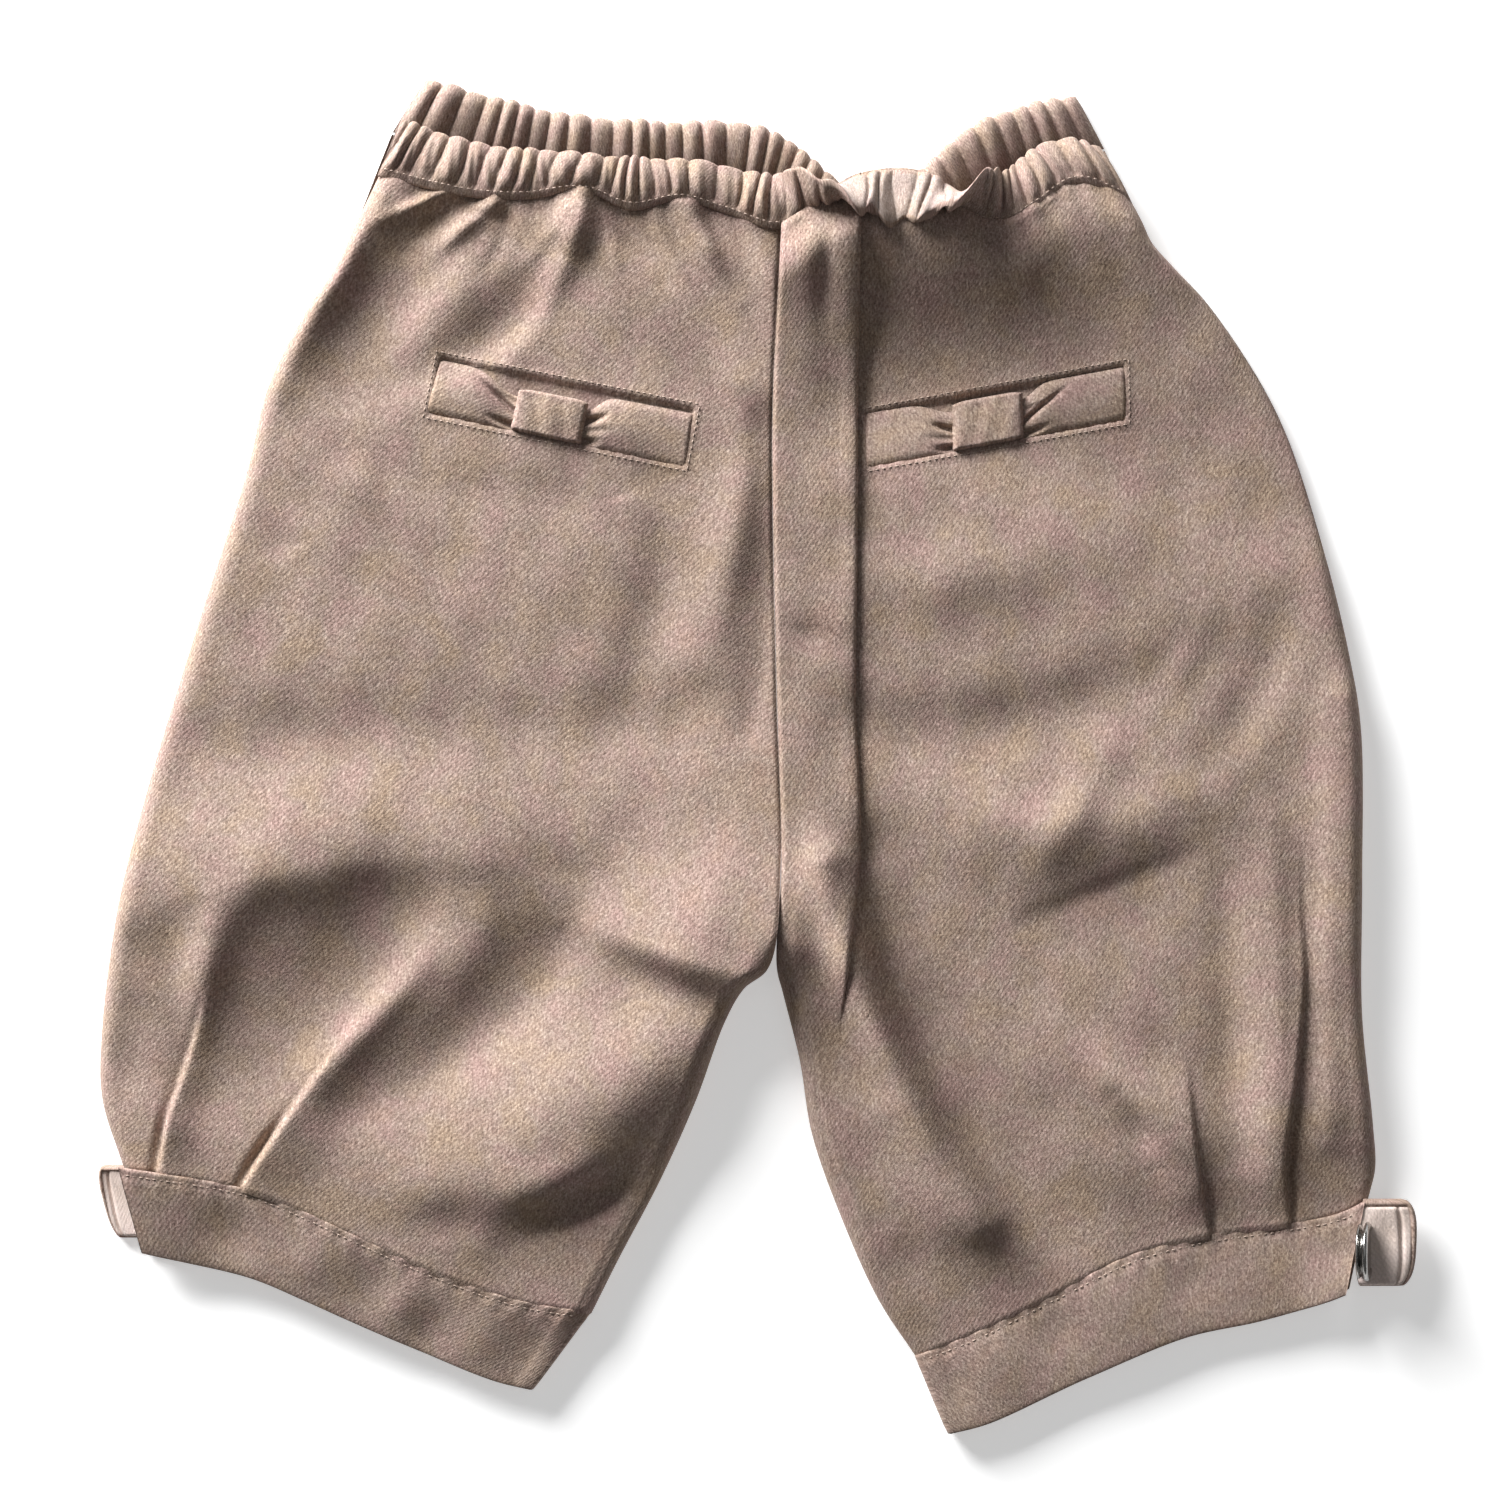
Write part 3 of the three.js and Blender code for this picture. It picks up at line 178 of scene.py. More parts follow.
RIGHT_FOLDS = [
    # high along the band, with a deep hollow below it
    ((14, 133), (44, 134), (90, 128), 10, 22, (10.0, 12.6, 4.2)),
    ((28, 88), (56, 89), (92, 96), 17, 9, (-5.0, -4.4, -1.8)),
    ((28, 82), (68, 78), (126, 62), 18, 13, (-3.6, -5.6, -4.6)),
    ((98, 117), (122, 86), (139, 44), 8, 26, (-2.0, -5.2, -1.8)),
    ((96, 76), (102, 64), (104, 50), 7, 7, (-0.6, -1.2, -0.6)),
    # across the leg
    ((28, 44), (50, 43), (76, 47), 9, 9, (0.8, 1.8, 0.6)),
    ((27, 8), (62, 8), (112, 26), 8, 9, (-2.6, -2.6, -1.0)),
    ((128, 36), (120, 14), (108, -2), 5, 6, (-0.8, -1.6, -0.6)),
    ((34, -12), (76, -18), (108, -8), 9, 11, (0.6, 3.0, 1.6)),
    ((108, 34), (103, 22), (96, 12), 4, 4, (0.4, 1.0, 0.4)),
    ((84, 0), (76, -14), (66, -28), 5, 6, (0.6, 1.2, 0.4)),
    ((60, -44), (84, -36), (108, -24), 8, 10, (-0.8, -2.4, -0.8)),
    ((64, -40), (84, -32), (104, -24), 2.5, 3, (-0.4, -1.0, -0.4)),
    ((76, -74), (96, -84), (114, -100), 8, 7, (0.6, 2.2, 0.8)),
    # from the crotch down to the cuff
    ((28, -24), (41, -66), (72, -116), 12, 5, (-2.8, -7.2, -5.8)),
    ((17, -26), (27, -62), (54, -112), 6, 5, (2.6, 7.0, 3.8)),
    ((-2, -42), (8, -44), (20, -46), 25, 8, (5.2, 4.6, 1.6)),
    ((30, -114), (38, -122), (48, -130), 6, 6, (-0.8, -1.8, -1.0)),
    # hollows and ridges that run down to the two pleats
    ((72, -64), (90, -82), (104, -104), 5, 5, (0.4, 1.9, 1.6)),
    ((86, -82), (92, -90), (96, -98), 3, 3, (-0.6, -1.6, -0.4)),
    ((123, -16), (124, -60), (122, -108), 4, 7, (0.8, 1.6, 0.8)),
    ((113, -30), (113, -60), (115, -96), 5, 5, (-0.6, -1.4, -0.8)),
    ((32, -86), (42, -104), (54, -120), 5, 7, (1.6, 2.4, 0.8)),
    ((137, 12), (138, -30), (137, -92), 5, 4, (0.8, 1.8, 1.4)),
    ((144, 14), (145, -30), (148, -92), 4, 6, (1.4, 2.0, 1.6)),
]

LEFT_CREASES = [
    ((-75.5, 137), (-80, 135), (-86, 131), 1.7, 1.9, (-1.6, -1.5, -0.4)),
    ((-72, 137), (-80, 133), (-90, 128), 2.0, 2.0, (2.4, 2.8, 0.8)),
    ((-68, 134), (-76, 129), (-85, 121), 2.3, 2.6, (-2.2, -2.6, -1.0)),
    ((-63, 132), (-71, 126), (-80, 118), 2.4, 3.0, (2.4, 2.8, 0.8)),
    ((-71, 131), (-66, 130), (-61, 129), 1.6, 2.0, (-0.8, -1.0, -0.4)),
    ((-60, 130), (-62, 121), (-68, 112), 2.2, 2.2, (-0.9, -0.7, 0.0)),
    ((-46, 131), (-52, 122), (-60, 113), 2.2, 2.4, (0.8, 0.7, 0.0)),
    ((-36, 131), (-34, 122), (-33, 112), 2.2, 2.2, (0.7, 0.7, 0.0)),
    ((-24, 130), (-20, 120), (-12, 110), 2.2, 2.2, (0.8, 0.7, 0.0)),
    ((-12, 129), (-8, 120), (-4, 108), 2.0, 2.4, (-0.9, -0.7, 0.0)),
    ((-113, 58), (-115, 51), (-112, 45), 6, 7, (-0.6, -1.2, -0.4)),
    ((-104, 72), (-96, 66), (-88, 64), 7, 6, (0.3, 1.0, 0.3)),
    ((-30, 66), (-28, 60), (-34, 52), 8, 8, (0.2, 0.8, 0.2)),
]
RIGHT_CREASES = [
    ((70, 131), (74, 123), (82, 114), 2.4, 2.4, (-0.9, -0.7, 0.0)),
    ((60, 126), (64, 117), (70, 108), 2.4, 2.4, (0.8, 0.7, 0.0)),
    ((17, 126), (16.5, 112), (17, 96), 2.4, 2.6, (-1.0, -1.6, -0.3)),
    ((98, 71), (100, 66), (101, 60), 6, 6, (-0.4, -0.9, -0.3)),
    ((7, 30), (13, 29), (20, 27), 3, 5, (-0.4, -1.0, -0.4)),
]

# Pleats that run down to a cuff: the folded edge, the side that its upper layer is on (1 to its left, -1 to
# its right), its height and its spread
PLEATS = {
    "left": [
        ([(-131, -50), (-133, -62), (-138, -78), (-141, -87), (-143.5, -100)], 1, 3.0, 8),
        ([(-86, -50), (-100, -69), (-111, -84.5), (-119.5, -97), (-123, -103)], 1, 3.0, 10),
    ],
    "right": [
        ([(103, -68), (103.7, -76), (105, -90.5), (106.8, -103), (109.5, -116)], -1, 2.4, 8),
        ([(130.4, -14), (130.6, -36), (131.4, -52), (129.6, -75), (127, -97), (128.5, -113)], -1, 2.5, 8),
    ],
}

# The band round the back: its hinge on the seam, that hinge's level, its roll in degrees, the sideways pull,
# and the height of the band as it lies gathered there
BACK_BAND = [
    ((-91, 140.4), 6.0, -1, 4, 12.6),
    ((-70, 135.4), 6.8, -1, 1, 12.2),
    ((-56, 134.4), 7.2, 0, 0, 11.2),
    ((-41, 135.9), 8.0, 2, 0, 8.4),
    ((-30, 131.9), 7.2, 0, 0, 11.8),
    ((-18, 133.9), 7.8, 2, 0, 9.0),
    ((-7, 130.9), 7.4, 2, 0, 10.4),
    ((5, 127.2), 8.2, 4, 0, 12.0),
    ((11, 129.9), 10.0, 36, 0, 12.2),
    ((17, 133.6), 11.6, 84, 0, 12.0),
    ((24, 136.8), 12.6, 136, 0, 12.0),
    ((33, 138.2), 13.0, 164, 0, 12.6),
    ((42, 137.0), 13.0, 148, 0, 12.0),
    ((47, 133.6), 12.4, 110, 0, 11.4),
    ((53, 129.2), 11.2, 28, 0, 12.0),
    ((60, 128.0), 10.2, -4, 0, 12.0),
    ((67, 131.7), 9.6, -10, -1, 12.0),
    ((77, 137.7), 8.4, -10, -4.5, 10.4),
    ((90.2, 134.2), 6.8, -4, -10, 12.6),
]

# The window of each pocket, where its loop is, how much the loop draws the welt down from the top, over what
# shares of the window on its two sides, and how far below the top the welt lies away from it
POCKETS = {
    "left": {"top": ((-15, 84), (-75.5, 95.5)), "bottom": ((-17, 69), (-79, 82.5)), "loop": 0.54,
             "pinch": 0.38, "drawn": (0.05, 0.12), "below": (0.1, 0.0)},
    "right": {"top": ((26.5, 83), (88.5, 94)), "bottom": ((26.5, 69), (89, 81)), "loop": 0.47,
              "pinch": 0.25, "drawn": (0.1, 0.06), "below": (0.0, 0.0)},
}

# Creases that the loop pinches into a welt: which end, height in the window at the loop, slope, depth, length
WELT_CREASES = [
    (1, 0.68, 2.8, 2.6, 0.2), (1, 0.92, 0.8, 2.0, 0.12), (1, 0.5, 1.2, 0.6, 0.14),
    (-1, 0.60, 2.0, 2.8, 0.1), (-1, 0.92, 0.4, 2.4, 0.08), (-1, 0.76, 1.0, 0.6, 0.14),
]

# The root of each tab from its upper to its lower end, its reach outwards, its level, how far its edge rolls
# up, and where its facing starts and ends across it and ends outwards
TABS = {
    "left": {"root": ((-153.1, -98.8), (-148.5, -116.4)), "reach": -6.8, "level": 0.0, "roll": 1.7,
             "facing": (0.04, 0.97, 0.97)},
    "right": {"root": ((148.4, -106.4), (147.6, -127.4)), "reach": 10.8, "level": 4.6, "roll": 1.2,
              "facing": (0.07, 0.98, 0.88)},
}

# Soft dents and rises in the cuffs: place, radius and height
CUFF_DENTS = {
    "left": [
        (-128, -113, 6, -1.1), (-124, -117, 5, -0.8), (-107, -121, 6, 0.8), (-93, -128, 7, -1.0),
        (-85, -131, 5, 0.7), (-78, -138, 6, -0.9), (-66, -140, 6, 0.5), (-54, -143, 9, -1.6),
    ],
    "right": [
        (46, -152, 6, -0.7), (58, -146, 7, 0.6), (72, -138, 5, -0.6), (88, -132, 7, 0.4),
        (104, -127, 5, -0.6), (120, -124, 7, 0.5), (141, -119, 5, -0.9),
    ],
}
# Where the upper end of each cuff stops, and where it starts to rise over its tab and how much
CUFF_ENDS = {
    "left": {"stop": 1.0, "from": 0.82, "rise": 1.9},
    "right": {"stop": 0.982, "from": 0.84, "rise": 2.2},
}

# Slow waves that leave no cloth quite even: length, heading in radians, height and phase
UNEVEN = [
    (41, 0.4, 0.16, 0.3), (29, 1.9, 0.12, 2.1), (17, 2.7, 0.07, 4.0), (13, 1.1, 0.05, 1.2),
    (9, 0.1, 0.03, 5.0),
]

# The section of the lap beside the centre seam: sideways from its free edge, and height above what it lies on
LAP_SECTION = [(-4.5, 1.0), (-1.6, 1.04), (0.1, 0.86), (0.55, 0.5), (-0.4, 0.24), (-1.3, 0.1), (-0.6, 0.0),
               (1.2, -0.02), (4.0, 0.0)]

# Half the section of the press button: shares of its radius and of half its thickness
BUTTON_PROFILE = [
    (0, -1), (0.8, -1), (0.9, -0.92), (0.94, -0.75), (0.9, -0.55), (0.82, -0.45), (0.76, -0.25),
    (0.74, -0.02), (0.86, 0.06), (0.96, 0.14), (1.0, 0.34), (1.0, 0.55), (0.96, 0.78), (0.88, 0.9),
    (0.8, 0.86), (0.74, 0.72), (0.5, 0.78), (0, 0.84),
]


# Numbers and curves

def smooth(low, high, x):
    """0 up to low and 1 from high, with an S-shaped rise between."""
    k = np.clip((np.asarray(x, float) - low) / (high - low), 0, 1)
    return k * k * (3 - 2 * k)


def mix(a, b, k):
    return a + (b - a) * k


def bell(x, width):
    return np.exp(-((x / width) ** 2))


def signed_power(x, exponent):
    return np.sign(x) * np.abs(x) ** exponent


def quarter_round(away, radius):
    """0 at an edge, rising along a quarter circle to 1."""
    k = np.clip(away / radius, 0, 1)
    return np.sqrt(np.clip(1 - (1 - k) ** 2, 0, 1))


def shoulder(away, radius):
    """0 at an edge, rising along a fuller, rounded shoulder to 1."""
    k = 1 - np.clip(away / radius, 0, 1)
    return np.clip(1 - k**2.5, 0, 1) ** 0.4


def soft_limit(level, low, high):
    middle, half = (low + high) / 2, (high - low) / 2
    return middle + half * np.tanh((level - middle) / half)


class Curve:
    """A smooth curve through a table of points (centripetal Catmull-Rom), read by share of its length."""

    def __init__(self, points, steps=60):
        p = np.array(points, float)
        p = np.vstack([2 * p[0] - p[1], p, 2 * p[-1] - p[-2]])
        dense = []
        t = np.linspace(0, 1, steps, endpoint=False)[:, None]
        for p0, p1, p2, p3 in zip(p, p[1:], p[2:], p[3:]):
            d0, d1, d2 = (np.linalg.norm(b - a) ** 0.5 for a, b in ((p0, p1), (p1, p2), (p2, p3)))
            m1 = d1 * ((p1 - p0) / d0 - (p2 - p0) / (d0 + d1) + (p2 - p1) / d1)
            m2 = d1 * ((p2 - p1) / d1 - (p3 - p1) / (d1 + d2) + (p3 - p2) / d2)
            square, cube = 3 * (p2 - p1) - 2 * m1 - m2, 2 * (p1 - p2) + m1 + m2
            dense.append(p1 + m1 * t + square * t**2 + cube * t**3)
        self.points = np.vstack(dense + [p[-2][None]])
        runs = np.linalg.norm(np.diff(self.points, axis=0), axis=1)
        self.length = runs.sum()
        self.shares = np.concatenate([[0], np.cumsum(runs)]) / self.length

    def __call__(self, share):
        share = np.clip(share, 0, 1)
        return np.stack([np.interp(share, self.shares, column) for column in self.points.T], axis=-1)

    def direction(self, share, reach=0.04):
        run = self(share + reach) - self(share - reach)
        return run / np.linalg.norm(run, axis=-1, keepdims=True)


def eased(values, shares, at):
    """A number that eases from row to row of a table."""
    values, shares = np.array(values, float), np.array(shares, float)
    k = np.clip(np.searchsorted(shares, at, side="left") - 1, 0, len(shares) - 2)
    return mix(values[k], values[k + 1], smooth(0, 1, (at - shares[k]) / (shares[k + 1] - shares[k])))


def nearest_on_path(path, x, y):
    """The distance to a path of points, how far to its left a place is, and the share of the path there."""
    best = np.full(x.shape, np.inf)
    left = np.zeros(x.shape)
    share = np.zeros(x.shape)
    for i, (a, b) in enumerate(zip(path, path[1:])):
        run = b - a
        along = np.clip(((x - a[0]) * run[0] + (y - a[1]) * run[1]) / (run @ run), 0, 1)
        away_x = x - a[0] - along * run[0]
        away_y = y - a[1] - along * run[1]
        distance = np.hypot(away_x, away_y)
        nearer = distance < best
        best = np.where(nearer, distance, best)
        left = np.where(nearer, (run[0] * away_y - run[1] * away_x) / np.hypot(*run), left)
        share = np.where(nearer, (i + along) / (len(path) - 1), share)
    return best, left, share


def fold_height(fold, x, y, steps=24):
    start, middle, end = (np.array(p, float) for p in fold[:3])
    left_width, right_width, heights = fold[3:]
    k = np.linspace(0, 1, steps + 1)[:, None]
    control = 2 * middle - (start + end) / 2
    path = (1 - k) ** 2 * start + 2 * k * (1 - k) * control + k**2 * end
    distance, left, share = nearest_on_path(path, x, y)
    width = mix(right_width, left_width, 0.5 + 0.5 * left / np.maximum(distance, 0.001))
    before = mix(heights[0], heights[1], smooth(0, 0.5, share))
    after = mix(heights[1], heights[2], smooth(0.5, 1, share))
    return np.where(share < 0.5, before, after) * bell(distance, width)


def pleat_height(pleat, x, y, steps=40):
    """A fold that lies over the cloth beside it: a sudden step along its edge, then a slow fall."""
    points, upper_side, height, spread = pleat
    _, left, share = nearest_on_path(Curve(points)(np.linspace(0, 1, steps + 1)), x, y)
    inward = left * upper_side
    over = height * smooth(-0.7, 0.5, inward) * bell(np.maximum(inward, 0), spread)
    crease = mix(-0.2, -2.6, smooth(0.6, 1, share)) * bell(inward + 1.0, 1.15)
    return smooth(0, 0.8, share) * (over + crease)


def waves(x, y):
    total = np.zeros(np.shape(x))
    for length, heading, height, phase in UNEVEN:
        along = x * math.cos(heading) + y * math.sin(heading)
        total = total + height * np.sin(2 * math.pi * along / length + phase)
    return total


def with_height(place, z):
    return np.concatenate([place, z[..., None]], axis=-1)


# Meshes

collection = bpy.context.scene.collection


def add_object(name, data):
    item = bpy.data.objects.new(name, data)
    collection.objects.link(item)
    return item


def mesh_object(name, points, faces, uvs, materials, slots=None):
    """A mesh from points and uvs in millimetres, with one uv for each point."""
    mesh = bpy.data.meshes.new(name)
    mesh.from_pydata((np.reshape(points, (-1, 3)) * MM).tolist(), [], faces)
    layer = mesh.uv_layers.new(name="cloth")
    corners = np.empty(len(mesh.loops), np.int32)
    mesh.loops.foreach_get("vertex_index", corners)
    layer.data.foreach_set("uv", (np.reshape(uvs, (-1, 2))[corners] * MM).ravel())
    for material in materials:
        mesh.materials.append(material)
    if slots is not None:
        mesh.polygons.foreach_set("material_index", np.asarray(slots, np.int32))
    mesh.shade_smooth()
    mesh.update()
    return add_object(name, mesh)


def grid_faces(rows, columns, closed=False):
    r, c = np.meshgrid(np.arange(rows - 1), np.arange(columns if closed else columns - 1), indexing="ij")
    after = (c + 1) % columns
    a, b = r * columns + c, (r + 1) * columns + c
    return np.stack([a, b, (r + 1) * columns + after, r * columns + after], axis=-1).reshape(-1, 4).tolist()


def tube_faces(rings, around):
    """The faces of a tube of rings, with the two end faces last."""
    last = (rings - 1) * around
    ends = [list(range(around))[::-1], list(range(last, last + around))]
    return grid_faces(rings, around, closed=True) + ends


def turned_over(faces):
    return [face[::-1] for face in faces]


def sheet_object(name, points, uvs, materials, flip=False):
    """An open sheet from a grid of points (rows, columns, 3)."""
    faces = grid_faces(*points.shape[:2])
    return mesh_object(name, points, turned_over(faces) if flip else faces, uvs, materials)


def tube_object(name, points, uvs, materials, flip=False, ring_slots=()):
    """A closed body from rings of points (rings, around, 3)."""
    rings, around = points.shape[:2]
    faces = tube_faces(rings, around)
    slots = list(np.tile(ring_slots, rings - 1)) + [0, 0] if len(ring_slots) else None
    return mesh_object(name, points, turned_over(faces) if flip else faces, uvs, materials, slots)


# The legs

class Leg:
    """The plan of one half: u runs from the centre seam or inseam to the side, v from waist to cuff."""

    def __init__(self, side, folds=(), creases=(), pleats=()):
        self.name = side
        self.outward = -1 if side == "left" else 1
        self.folds = folds
        self.creases = creases
        self.pleats = pleats
        inseam = LINES[side + "_inseam"]
        self.inner = Curve([(x + self.outward * CENTRE_GAP, y) for x, y in LINES["centre"][:-1]] + inseam)
        self.side = Curve(LINES[side + "_side"])
        self.waist = Curve([(x, y - SEAM) for x, y in LINES[side + "_waist"]])
        self.cuff = Curve(LINES[side + "_cuff"])
        self.hem = Curve(LINES[side + "_hem"])
        seat = Curve(LINES["centre"]).length
        self.crotch = seat / (seat + Curve(inseam).length)

    def plan(self, u, v):
        """The place in plan, blended from the four edges."""
        across = mix(self.inner(v), self.side(v), u[..., None])
        down = mix(self.waist(u), self.cuff(u), v[..., None])
        upper = mix(self.inner(0.0), self.side(0.0), u[..., None])
        lower = mix(self.inner(1.0), self.side(1.0), u[..., None])
        return across + down - mix(upper, lower, v[..., None])

    def ends(self, v):
        """The two ends of each row, and its width."""
        start, end = self.plan(np.zeros_like(v), v), self.plan(np.ones_like(v), v)
        return start, end, np.linalg.norm(end - start, axis=-1)[:, None]

    def opened(self, v):
        """0 beside the centre seam and 1 beside the inseam."""
        return smooth(self.crotch - 0.035, self.crotch + 0.03, v)


legs = {
    "left": Leg("left", LEFT_FOLDS, LEFT_CREASES, PLEATS["left"]),
    "right": Leg("right", RIGHT_FOLDS, RIGHT_CREASES, PLEATS["right"]),
}
lap_edge = Curve(LINES["lap"]).points
lap_edge = lap_edge[np.argsort(lap_edge[:, 1])]


def lap_edge_x(y):
    return np.interp(y, lap_edge[:, 1], lap_edge[:, 0])


def lap_height(y):
    return mix(LAP_FOOT, LAP_TOP, smooth(30, 105, y))


def window_place(pocket):
    """The middle of a pocket window, and its along and down directions with their lengths."""
    top, bottom = np.array(pocket["top"], float), np.array(pocket["bottom"], float)
    along = ((top[1] - top[0]) + (bottom[1] - bottom[0])) / 2
    down = ((bottom[0] - top[0]) + (bottom[1] - top[1])) / 2
    return (top.sum(0) + bottom.sum(0)) / 4, along, down


def window_distance(pocket, x, y):
    """Distance from the edge of a pocket window, below 0 inside."""
    middle, along, down = window_place(pocket)
    inverse = np.linalg.inv(np.array([along, down]).T)
    p, q = (row[0] * (x - middle[0]) + row[1] * (y - middle[1]) for row in inverse)
    return np.maximum((np.abs(p) - 0.5) * np.linalg.norm(along), (np.abs(q) - 0.5) * np.linalg.norm(down))


def free_level(leg, x, y, v, lift=0.0):
    """Top of the upper layer before it is rounded over at its sides: low at the band, deep in its folds."""
    folds = sum(fold_height(fold, x, y) for fold in leg.folds)
    fine = sum(fold_height(fold, x, y) for fold in leg.creases)
    at_band = soft_limit(BACK_LEVEL + folds * BAND_HOLD + fine + lift * 0.8, BACK_LOWEST, BACK_HIGHEST)
    drape = soft_limit(BACK_LEVEL + folds + fine, DRAPE_LOWEST, DRAPE_HIGHEST)
    free = mix(at_band, drape + lift + waves(x, y), smooth(0, 0.05, v))
    pleats = sum(pleat_height(pleat, x, y) for pleat in leg.pleats)
    top = CUFF_LEVEL + CUFF_TILT[leg.name]
    at_cuff = top - 0.3 + 0.5 * np.tanh((free - top) / 3)
    return mix(free, at_cuff, smooth(0.9, 1, v)) + pleats * mix(1, 0.35, smooth(0.94, 1, v))


def edge_columns(steepest, count):
    """Columns over a rounded edge, as shares of its radius: close together where it is steep."""
    return 1 - np.sin(np.radians(np.linspace(90, steepest, count)))[None]


def columns_between(a, b, count):
    return a + (b - a) * (np.arange(1, count + 1) / (count + 1))[None]


def back_columns(leg, v, columns, edge=9, before_lap=16, lap_columns=30):
    """For each row, how far in each column is from the inner edge, and the lap's lift there."""
    start, end, width = leg.ends(v)
    rounds = edge_columns(14, edge)
    inner = mix(SEAM_ROUND, SIDE_ROUND, leg.opened(v))[:, None] * rounds
    outer = width - SIDE_ROUND * rounds[:, ::-1]
    first, last = inner[:, -1:], outer[:, :1]
    if leg.outward < 0:
        away = np.hstack([inner, columns_between(first, last, columns), outer])
        return away, np.zeros_like(away), width
    row_y = leg.plan(np.full_like(v, LAP_AT), v)[:, 1]
    at = (lap_edge_x(row_y) - start[:, 0]) / (end[:, 0] - start[:, 0]) * width[:, 0]
    at = np.maximum(at, SIDE_ROUND + 4.0)[:, None]
    strength = smooth(-66, -46, row_y)[:, None]
    section = Curve(LAP_SECTION)(np.linspace(0, 1, lap_columns))
    plain = np.linspace(LAP_SECTION[0][0], LAP_SECTION[-1][0], lap_columns)[None]
    lap = at + mix(plain, section[None, :, 0], strength)
    height = strength * lap_height(row_y)[:, None]
    before = columns_between(first, lap[:, :1], before_lap)
    after = columns_between(lap[:, -1:], last, columns - before_lap)
    away = np.hstack([inner, before, lap, after, outer])
    lifts = np.zeros_like(away)
    lifts[:, :edge + before_lap] = height
    lifts[:, edge + before_lap:edge + before_lap + lap_columns] = height * section[None, :, 1]
    return away, lifts, width


def back_surface(leg, pocket, rows, columns):
    v = np.linspace(0, 1, rows)
    away, lift, width = back_columns(leg, v, columns)
    v = np.repeat(v[:, None], away.shape[1], axis=1)
    place = leg.plan(away / width, v)
    x, y = place[..., 0], place[..., 1]
    distance = window_distance(pocket, x, y)
    window = WINDOW_LIP * bell(distance - 0.9, 0.7) - WINDOW_DEPTH * smooth(0.0, -0.7, distance)
    opened = leg.opened(v)
    seam_dip = 0.5 * bell(away, 0.6) * (1 - opened)
    inseam_groove = 0.35 * bell(away - 3.2, 0.5) * opened
    puckers = 0.22 * np.sin(2 * math.pi * (x + 0.4 * y) / 5.3) * np.exp(-v * 60)
    body = free_level(leg, x, y, v, lift) - RIM_LEVEL + window - seam_dip - inseam_groove + puckers
    inner_turn = mix(1.0, shoulder(away, SIDE_ROUND), opened)
    return with_height(place, RIM_LEVEL + body * inner_turn * shoulder(width - away, SIDE_ROUND))


def cloth_uv(points, leg, edge=10):
    """The weave's place, turned a little. The rounded edges are unrolled, so that it doesn't streak there."""
    x, y, z = points[..., 0], points[..., 1], points[..., 2]
    unrolled = np.zeros_like(x)
    unrolled[:, :edge] = z[:, :edge] - z[:, edge, None]
    unrolled[:, -edge:] = z[:, -edge - 1, None] - z[:, -edge:]
    x = x + leg.outward * unrolled
    tilt = math.radians(WEAVE_TILT * leg.outward)
    c, s = math.cos(tilt), math.sin(tilt)
    return np.stack([x * c + y * s, y * c - x * s], axis=-1)


def with_rim(points, drop, tuck):
    """Adds an edge all round, turned down: under the band and the cuff it is tucked on beneath them."""

    def lowered(edge, before, reach):
        onward = edge - before
        onward[..., 2] = 0
        onward /= np.maximum(np.linalg.norm(onward, axis=-1, keepdims=True), 0.001)
        low = edge + onward * reach
        low[..., 2] = np.maximum(edge[..., 2] - drop, RIM_LEVEL - 0.2)
        return low

    top = lowered(points[:1], points[1:2], tuck)
    bottom = lowered(points[-1:], points[-2:-1], tuck)
    points = np.concatenate([top, points, bottom], axis=0)
    inner = lowered(points[:, :1], points[:, 2:3], -0.02)
    outer = lowered(points[:, -1:], points[:, -3:-2], -0.2)
    return np.concatenate([inner, points, outer], axis=1)


def make_back(side, materials):
    leg = legs[side]
    points = with_rim(back_surface(leg, POCKETS[side], rows=390, columns=200), drop=0.7, tuck=1.4)
    return sheet_object(f"back_{side}_cloth", points, cloth_uv(points, leg), materials, flip=side == "right")


# The front, flat on the surface, with its edge turned up to the side seam

front_band_top = Curve(LINES["front_band"])


def front_band_line(share, down):
    share = np.asarray(share, float)
    here, run = front_band_top(share), front_band_top.direction(share, 0.03)
    slant = mix(-6.2, 5.6, share) * (down / BAND_HEIGHT) * np.abs(2 * share - 1) ** 3
    x = here[..., 0] + run[..., 1] * down * 0.6 + slant
    y = here[..., 1] - down * mix(1, run[..., 0], 0.5)
    return np.stack([x, y], axis=-1)


def front_leg(side):
    """A leg with the front's own waist, inner line and side line, a little inside those of the back."""
    front = Leg(side)
    middle = FRONT_WAIST_MIDDLE + front.outward * FRONT_WAIST_GAP
    shares = mix(middle, 0.0 if side == "left" else 1.0, np.linspace(0, 1, 25))
    waist = front_band_line(shares, BAND_HEIGHT) - [0, 2 * SEAM]
    centre = [(x + front.outward * FRONT_GAP, y) for x, y in LINES["centre"][1:-1]]
    side_line = [waist[-1]] + LINES[side + "_side"][2:]
    front.waist = Curve(waist)
    front.inner = Curve([waist[0]] + centre + LINES[side + "_inseam"])
    front.side = Curve([(x - front.outward * FRONT_TUCK, y) for x, y in side_line])
    return front


